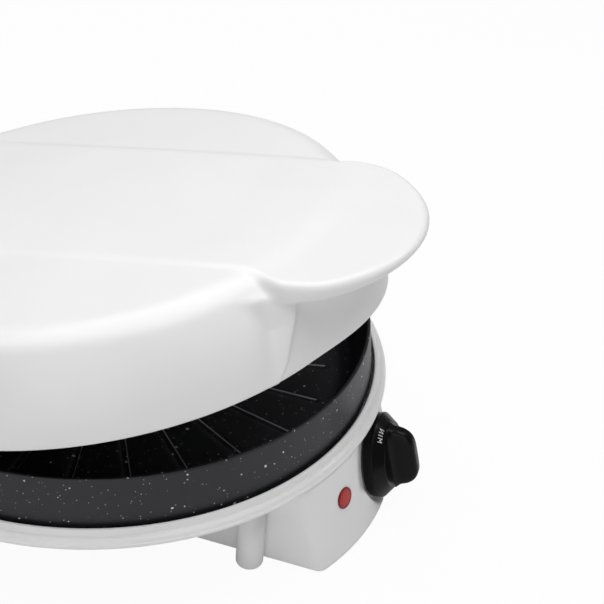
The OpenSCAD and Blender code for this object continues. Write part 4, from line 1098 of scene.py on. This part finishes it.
class PIZZA_OT_dial(bpy.types.Operator):
    """Builds the dial with its grip and its printed marks"""

    bl_idname = "pizza_maker.dial"
    bl_label = "Dial"

    def execute(self, context):
        place = dial_place()
        inside = DIAL_FACE_Z - 3
        corners = [
            (DIAL_HOLE_R, DIAL_BACK_Z), (DIAL_R - 0.4, DIAL_BACK_Z), (DIAL_R, DIAL_SHOULDER_Z),
            (DIAL_TOP_R, DIAL_FACE_Z), (0, DIAL_FACE_Z),
        ]
        outside = rounded(corners, [0, 0.9, 0.8, 1.0, 0], 5, closed=False)
        section = [(0, inside), (DIAL_HOLE_R, inside), *outside]
        body = spin("dial_skirt", section, 160, lambda points: moved(points, place))
        whole = joined("dial_body", [body, self.grip(place)])
        crease_by_angle(whole, 50)
        paint(whole, "black_plastic")
        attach(whole, "dial_knob")
        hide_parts("dial")
        marks = self.marks(place)
        paint(marks, "ink")
        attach(marks, "dial_knob")
        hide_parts("dial")
        return {"FINISHED"}

    def grip(self, place):
        """The grip's bar: rounded rings from a flared foot to a soft outer edge."""
        turns = np.linspace(0, 2 * math.pi, GRIP_POINTS, endpoint=False)
        c, q = np.cos(turns), np.sin(turns)
        rings = []
        for h in GRIP_LEVELS:
            flare = 3.0 * max(0.0, 1 - max(h, 0) / 4.2) ** 2.2
            half = GRIP_THICK / 2 - 0.05 * h + flare
            long = GRIP_LENGTH / 2 - 0.4 + 0.5 * flare
            if h > GRIP_HEIGHT - GRIP_TURN_R:
                up = h - GRIP_HEIGHT + GRIP_TURN_R
                long -= GRIP_TURN_R - math.sqrt(max(0.0, GRIP_TURN_R**2 - up**2))
            edge = max(0.0, h - (GRIP_HEIGHT - GRIP_EDGE_R)) / GRIP_EDGE_R
            half -= GRIP_EDGE_R * (1 - math.sqrt(max(0.0, 1 - edge**2)))
            x = half * np.sign(c) * np.abs(c) ** 0.42
            y = long * np.sign(q) * np.abs(q) ** 0.62
            rings += [(u, v, DIAL_FACE_Z + h) for u, v in zip(x, y)]
        faces = grid_faces(len(GRIP_LEVELS), GRIP_POINTS)
        faces.append(tuple(range(GRIP_POINTS - 1, -1, -1)))
        faces.append(tuple(range(len(rings) - GRIP_POINTS, len(rings))))
        grip = make_object("grip", moved(rings, place), faces)
        face_outwards(grip)
        return grip

    def lettering(self, word):
        """A word's flat points and faces."""
        curve = bpy.data.curves.new("word", "FONT")
        curve.body = word
        curve.size = 4.8
        curve.space_character = 1.35
        curve.align_x = "CENTER"
        curve.align_y = "CENTER"
        curve.resolution_u = 4
        text = new_piece("word", curve)
        mesh = bpy.data.meshes.new_from_object(text.evaluated_get(bpy.context.evaluated_depsgraph_get()))
        flat = [(v.co.x, v.co.y) for v in mesh.vertices]
        faces = [tuple(p.vertices) for p in mesh.polygons]
        bpy.data.objects.remove(text)
        bpy.data.curves.remove(curve)
        bpy.data.meshes.remove(mesh)
        return flat, faces

    def on_shoulder(self, u, v, lift, middle):
        """Where a flat point lies on the sloping shoulder, at a height above it."""
        slope = math.hypot(DIAL_FACE_Z - DIAL_SHOULDER_Z, DIAL_R - DIAL_TOP_R)
        t = 0.5 + v / slope
        r = DIAL_R + (DIAL_TOP_R - DIAL_R) * t
        z = DIAL_SHOULDER_Z + (DIAL_FACE_Z - DIAL_SHOULDER_Z) * t
        out = lift / math.sqrt(2)
        a = math.radians(middle) - u / ((DIAL_R + DIAL_TOP_R) / 2)
        return (r + out) * math.cos(a), (r + out) * math.sin(a), z + out

    def marks(self, place):
        """MIN and MAX printed on the sloping shoulder, bent to its shape."""
        pieces = []
        for word, middle in (("MIN", 114.0), ("MAX", -66.0)):
            flat, faces = self.lettering(word)
            count = len(flat)
            points = [self.on_shoulder(u, v, lift, middle) for lift in (0.05, 0.14) for u, v in flat]
            edges = dict.fromkeys((f[i], f[(i + 1) % len(f)]) for f in faces for i in range(len(f)))
            solid = [tuple(count + i for i in f) for f in faces] + [f[::-1] for f in faces]
            solid += [(a, b, count + b, count + a) for a, b in edges if (b, a) not in edges]
            pieces.append(make_object("word", moved(points, place), solid, smooth=False))
        marks = joined("dial_marks", pieces)
        face_outwards(marks)
        shade(marks.data, smooth=False)
        return marks


class PIZZA_OT_lamp(bpy.types.Operator):
    """Builds the lamp's round lens"""

    bl_idname = "pizza_maker.lamp"
    bl_label = "Lamp"

    def execute(self, context):
        place = face_place(LAMP_X, LAMP_Z)
        corners = [(0, -4), (5.5, -4), (5.5, -0.4), (7.0, -0.4), (6.9, 0.7), (6.0, 1.0), (5.6, 0.8)]
        corners += [(3.0, 1.1), (0, 1.2)]
        section = rounded(corners, [0, 0.3, 0, 0.2, 0.5, 0.4, 0.4, 3, 0], 4, closed=False)
        lens = spin("lamp_lens_cover", section, 96, lambda points: moved(points, place))
        points = np.array([tuple(v.co) for v in lens.data.vertices]) / MM - [0, AXIS_Y, 0]
        local = put_back(points, place)
        rim = lens.data.attributes.new("rim", "FLOAT", "POINT")
        rim.data.foreach_set("value", np.clip((np.hypot(local[:, 0], local[:, 1]) - 5.2) / 0.8, 0, 1))
        paint(lens, "red_lens")
        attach(lens, "base")
        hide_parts("lamp_lens")
        return {"FINISHED"}


class PIZZA_OT_screws(bpy.types.Operator):
    """Builds the cross-head screws of the cover, the pan, the clamps and the liner"""

    bl_idname = "pizza_maker.screws"
    bl_label = "Screws"

    def execute(self, context):
        tree = screw_tree()
        angle = math.radians(LID_OPEN)
        for node, body, head_r, head_h, shank_r, shank_l, axis in SCREWS:
            if axis is None:
                axis = (0.0, -math.sin(angle), -math.cos(angle))
            axis = np.array(Vector(axis))
            spots = []
            for points in self.solids(frame["nodes"][node]):
                middle = points.mean(axis=0)
                spots.append(tuple(middle + axis * ((points @ axis).max() - head_h * MM - middle @ axis)))
            mesh = bpy.data.meshes.new(node + "_fitted")
            mesh.from_pydata(spots, [], [])
            piece = new_piece(node + "_fitted", mesh)
            values = {
                "Head Radius": head_r * MM, "Head Height": head_h * MM, "Shank Radius": shank_r * MM,
                "Shank Length": shank_l * MM, "Axis": axis.tolist(), "Material": FINISH["plated_steel"],
            }
            run_tree(piece, tree, values)
            crease_by_angle(piece, 35)
            paint(piece, "plated_steel")
            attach(piece, body)
            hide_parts(node)
        return {"FINISHED"}

    def solids(self, node):
        """The points of each separate solid of a frame node."""
        mesh = node.data
        points = np.array([tuple(v.co) for v in mesh.vertices])
        keys, same = {}, []
        for p in np.round(points, 6):
            same.append(keys.setdefault(tuple(p), len(keys)))
        parent = list(range(len(keys)))

        def root(i):
            while parent[i] != i:
                parent[i] = parent[parent[i]]
                i = parent[i]
            return i

        for polygon in mesh.polygons:
            ids = [same[i] for i in polygon.vertices]
            for i in ids[1:]:
                parent[root(i)] = root(ids[0])
        groups = {}
        for i, key in enumerate(same):
            groups.setdefault(root(key), {})[key] = points[i]
        return [np.array(list(g.values())) for g in groups.values()]


class PIZZA_OT_stage(bpy.types.Operator):
    """Sets the floor, the studio light and the camera"""

    bl_idname = "pizza_maker.stage"
    bl_label = "Stage"

    def execute(self, context):
        self.floor()
        self.light(context)
        self.camera(context)
        context.scene.view_settings.view_transform = "Standard"
        return {"FINISHED"}

    def floor(self):
        """A wide floor that the camera sees nearly white and that still takes a faint shadow."""
        mesh = bpy.data.meshes.new("floor")
        reach = FLOOR_SIZE
        corners = [(-reach, -reach, 0), (reach, -reach, 0), (reach, reach, 0), (-reach, reach, 0)]
        mesh.from_pydata(corners, [], [(0, 1, 2, 3)])
        floor = new_piece("floor", mesh)
        material, tree, shader = new_material("Pale floor")
        fill(tree, shader, {"Base Color": (0.8, 0.8, 0.8, 1), "Roughness": 0.8})
        glow = add_node(tree, "ShaderNodeEmission", {"Strength": 1.0}).outputs[0]
        seen = add_node(tree, "ShaderNodeLightPath").outputs["Is Camera Ray"]
        share = maths(tree, "MULTIPLY", seen, FLOOR_GLOW)
        mix = add_node(tree, "ShaderNodeMixShader", {0: share, 1: shader.outputs[0], 2: glow})
        fill(tree, tree.nodes["Material Output"], {"Surface": mix.outputs[0]})
        floor.data.materials.append(material)
        floor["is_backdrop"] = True

    def light(self, context):
        """A faint fill that the camera sees as white, and the square lamps."""
        world = bpy.data.worlds.new("Studio")
        context.scene.world = world
        world.use_nodes = True
        tree = world.node_tree
        tree.nodes.clear()
        seen = add_node(tree, "ShaderNodeLightPath").outputs["Is Camera Ray"]
        faint, white = (
            add_node(tree, "ShaderNodeBackground", {"Color": (1, 1, 1, 1), "Strength": strength}).outputs[0]
            for strength in (FILL_STRENGTH, 1.0)
        )
        mix = add_node(tree, "ShaderNodeMixShader", {0: seen, 1: faint, 2: white})
        add_node(tree, "ShaderNodeOutputWorld", {"Surface": mix.outputs[0]})
        for name, at, aim, size, power in LAMPS:
            data = bpy.data.lights.new(name, "AREA")
            data.shape = "SQUARE"
            data.size = size
            data.energy = power
            lamp = new_piece(name, data)
            lamp.location = at
            lamp.rotation_euler = (Vector(aim) - Vector(at)).to_track_quat("-Z", "Y").to_euler()

    def camera(self, context):
        """The photograph's view: from the left and a little in front, 33 degrees down, rolled by 5."""
        azimuth, elevation, roll = (math.radians(angle) for angle in (AZIMUTH, ELEVATION, ROLL))
        flat = math.cos(elevation)
        back = Vector((math.sin(azimuth) * flat, -math.cos(azimuth) * flat, math.sin(elevation)))
        right = (-back).cross(Vector((0, 0, 1))).normalized()
        up = right.cross(-back)
        side = right * math.cos(roll) + up * math.sin(roll)
        top = -right * math.sin(roll) + up * math.cos(roll)
        at = (Vector((0, AXIS_Y, AIM_Z)) + right * SHIFT_RIGHT + up * SHIFT_UP + back * DISTANCE) * MM
        data = bpy.data.cameras.new("camera")
        data.sensor_width = SENSOR
        data.lens = LENS
        data.clip_start = 0.01
        camera = new_piece("camera", data)
        camera.matrix_world = Matrix.Translation(at) @ Matrix((side, top, back)).transposed().to_4x4()
        context.scene.camera = camera


class PIZZA_PT_panel(bpy.types.Panel):
    """Lists the sizes, the finishes and the steps"""

    bl_idname = "PIZZA_PT_panel"
    bl_label = "Pizza maker"
    bl_space_type = "VIEW_3D"
    bl_region_type = "UI"
    bl_category = "Pizza maker"

    def draw(self, context):
        column = self.layout.column()
        scene = context.scene
        groups = (PizzaMakerSizes, scene.pizza_maker_sizes), (PizzaMakerFinishes, scene.pizza_maker_finishes)
        for kind, group in groups:
            for name in kind.__annotations__:
                column.prop(group, name)
        for operator in OPERATORS:
            column.operator(operator.bl_idname)


OPERATORS = (
    PIZZA_OT_finishes,
    PIZZA_OT_lid,
    PIZZA_OT_base,
    PIZZA_OT_pan,
    PIZZA_OT_dial,
    PIZZA_OT_lamp,
    PIZZA_OT_screws,
    PIZZA_OT_stage,
)
CLASSES = (PizzaMakerSizes, PizzaMakerFinishes) + OPERATORS + (PIZZA_PT_panel,)


def register():
    """Adds the settings, the steps and the panel."""
    for item in CLASSES:
        bpy.utils.register_class(item)
    bpy.types.Scene.pizza_maker_sizes = bpy.props.PointerProperty(type=PizzaMakerSizes)
    bpy.types.Scene.pizza_maker_finishes = bpy.props.PointerProperty(type=PizzaMakerFinishes)


def unregister():
    """Takes them away again."""
    del bpy.types.Scene.pizza_maker_finishes
    del bpy.types.Scene.pizza_maker_sizes
    for item in reversed(CLASSES):
        bpy.utils.unregister_class(item)


def main():
    """Builds everything and works out how large it came out."""
    register()
    bpy.ops.pizza_maker.finishes()
    bpy.ops.pizza_maker.lid()
    bpy.ops.pizza_maker.base()
    bpy.ops.pizza_maker.pan()
    bpy.ops.pizza_maker.dial()
    bpy.ops.pizza_maker.lamp()
    bpy.ops.pizza_maker.screws()
    bpy.ops.pizza_maker.stage()
    plain = lambda box: [[float(v) for v in corner] for corner in box]
    {"cad": plain(CAD_BOX), "visual": plain(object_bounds())}


if __name__ == "__main__":
    main()
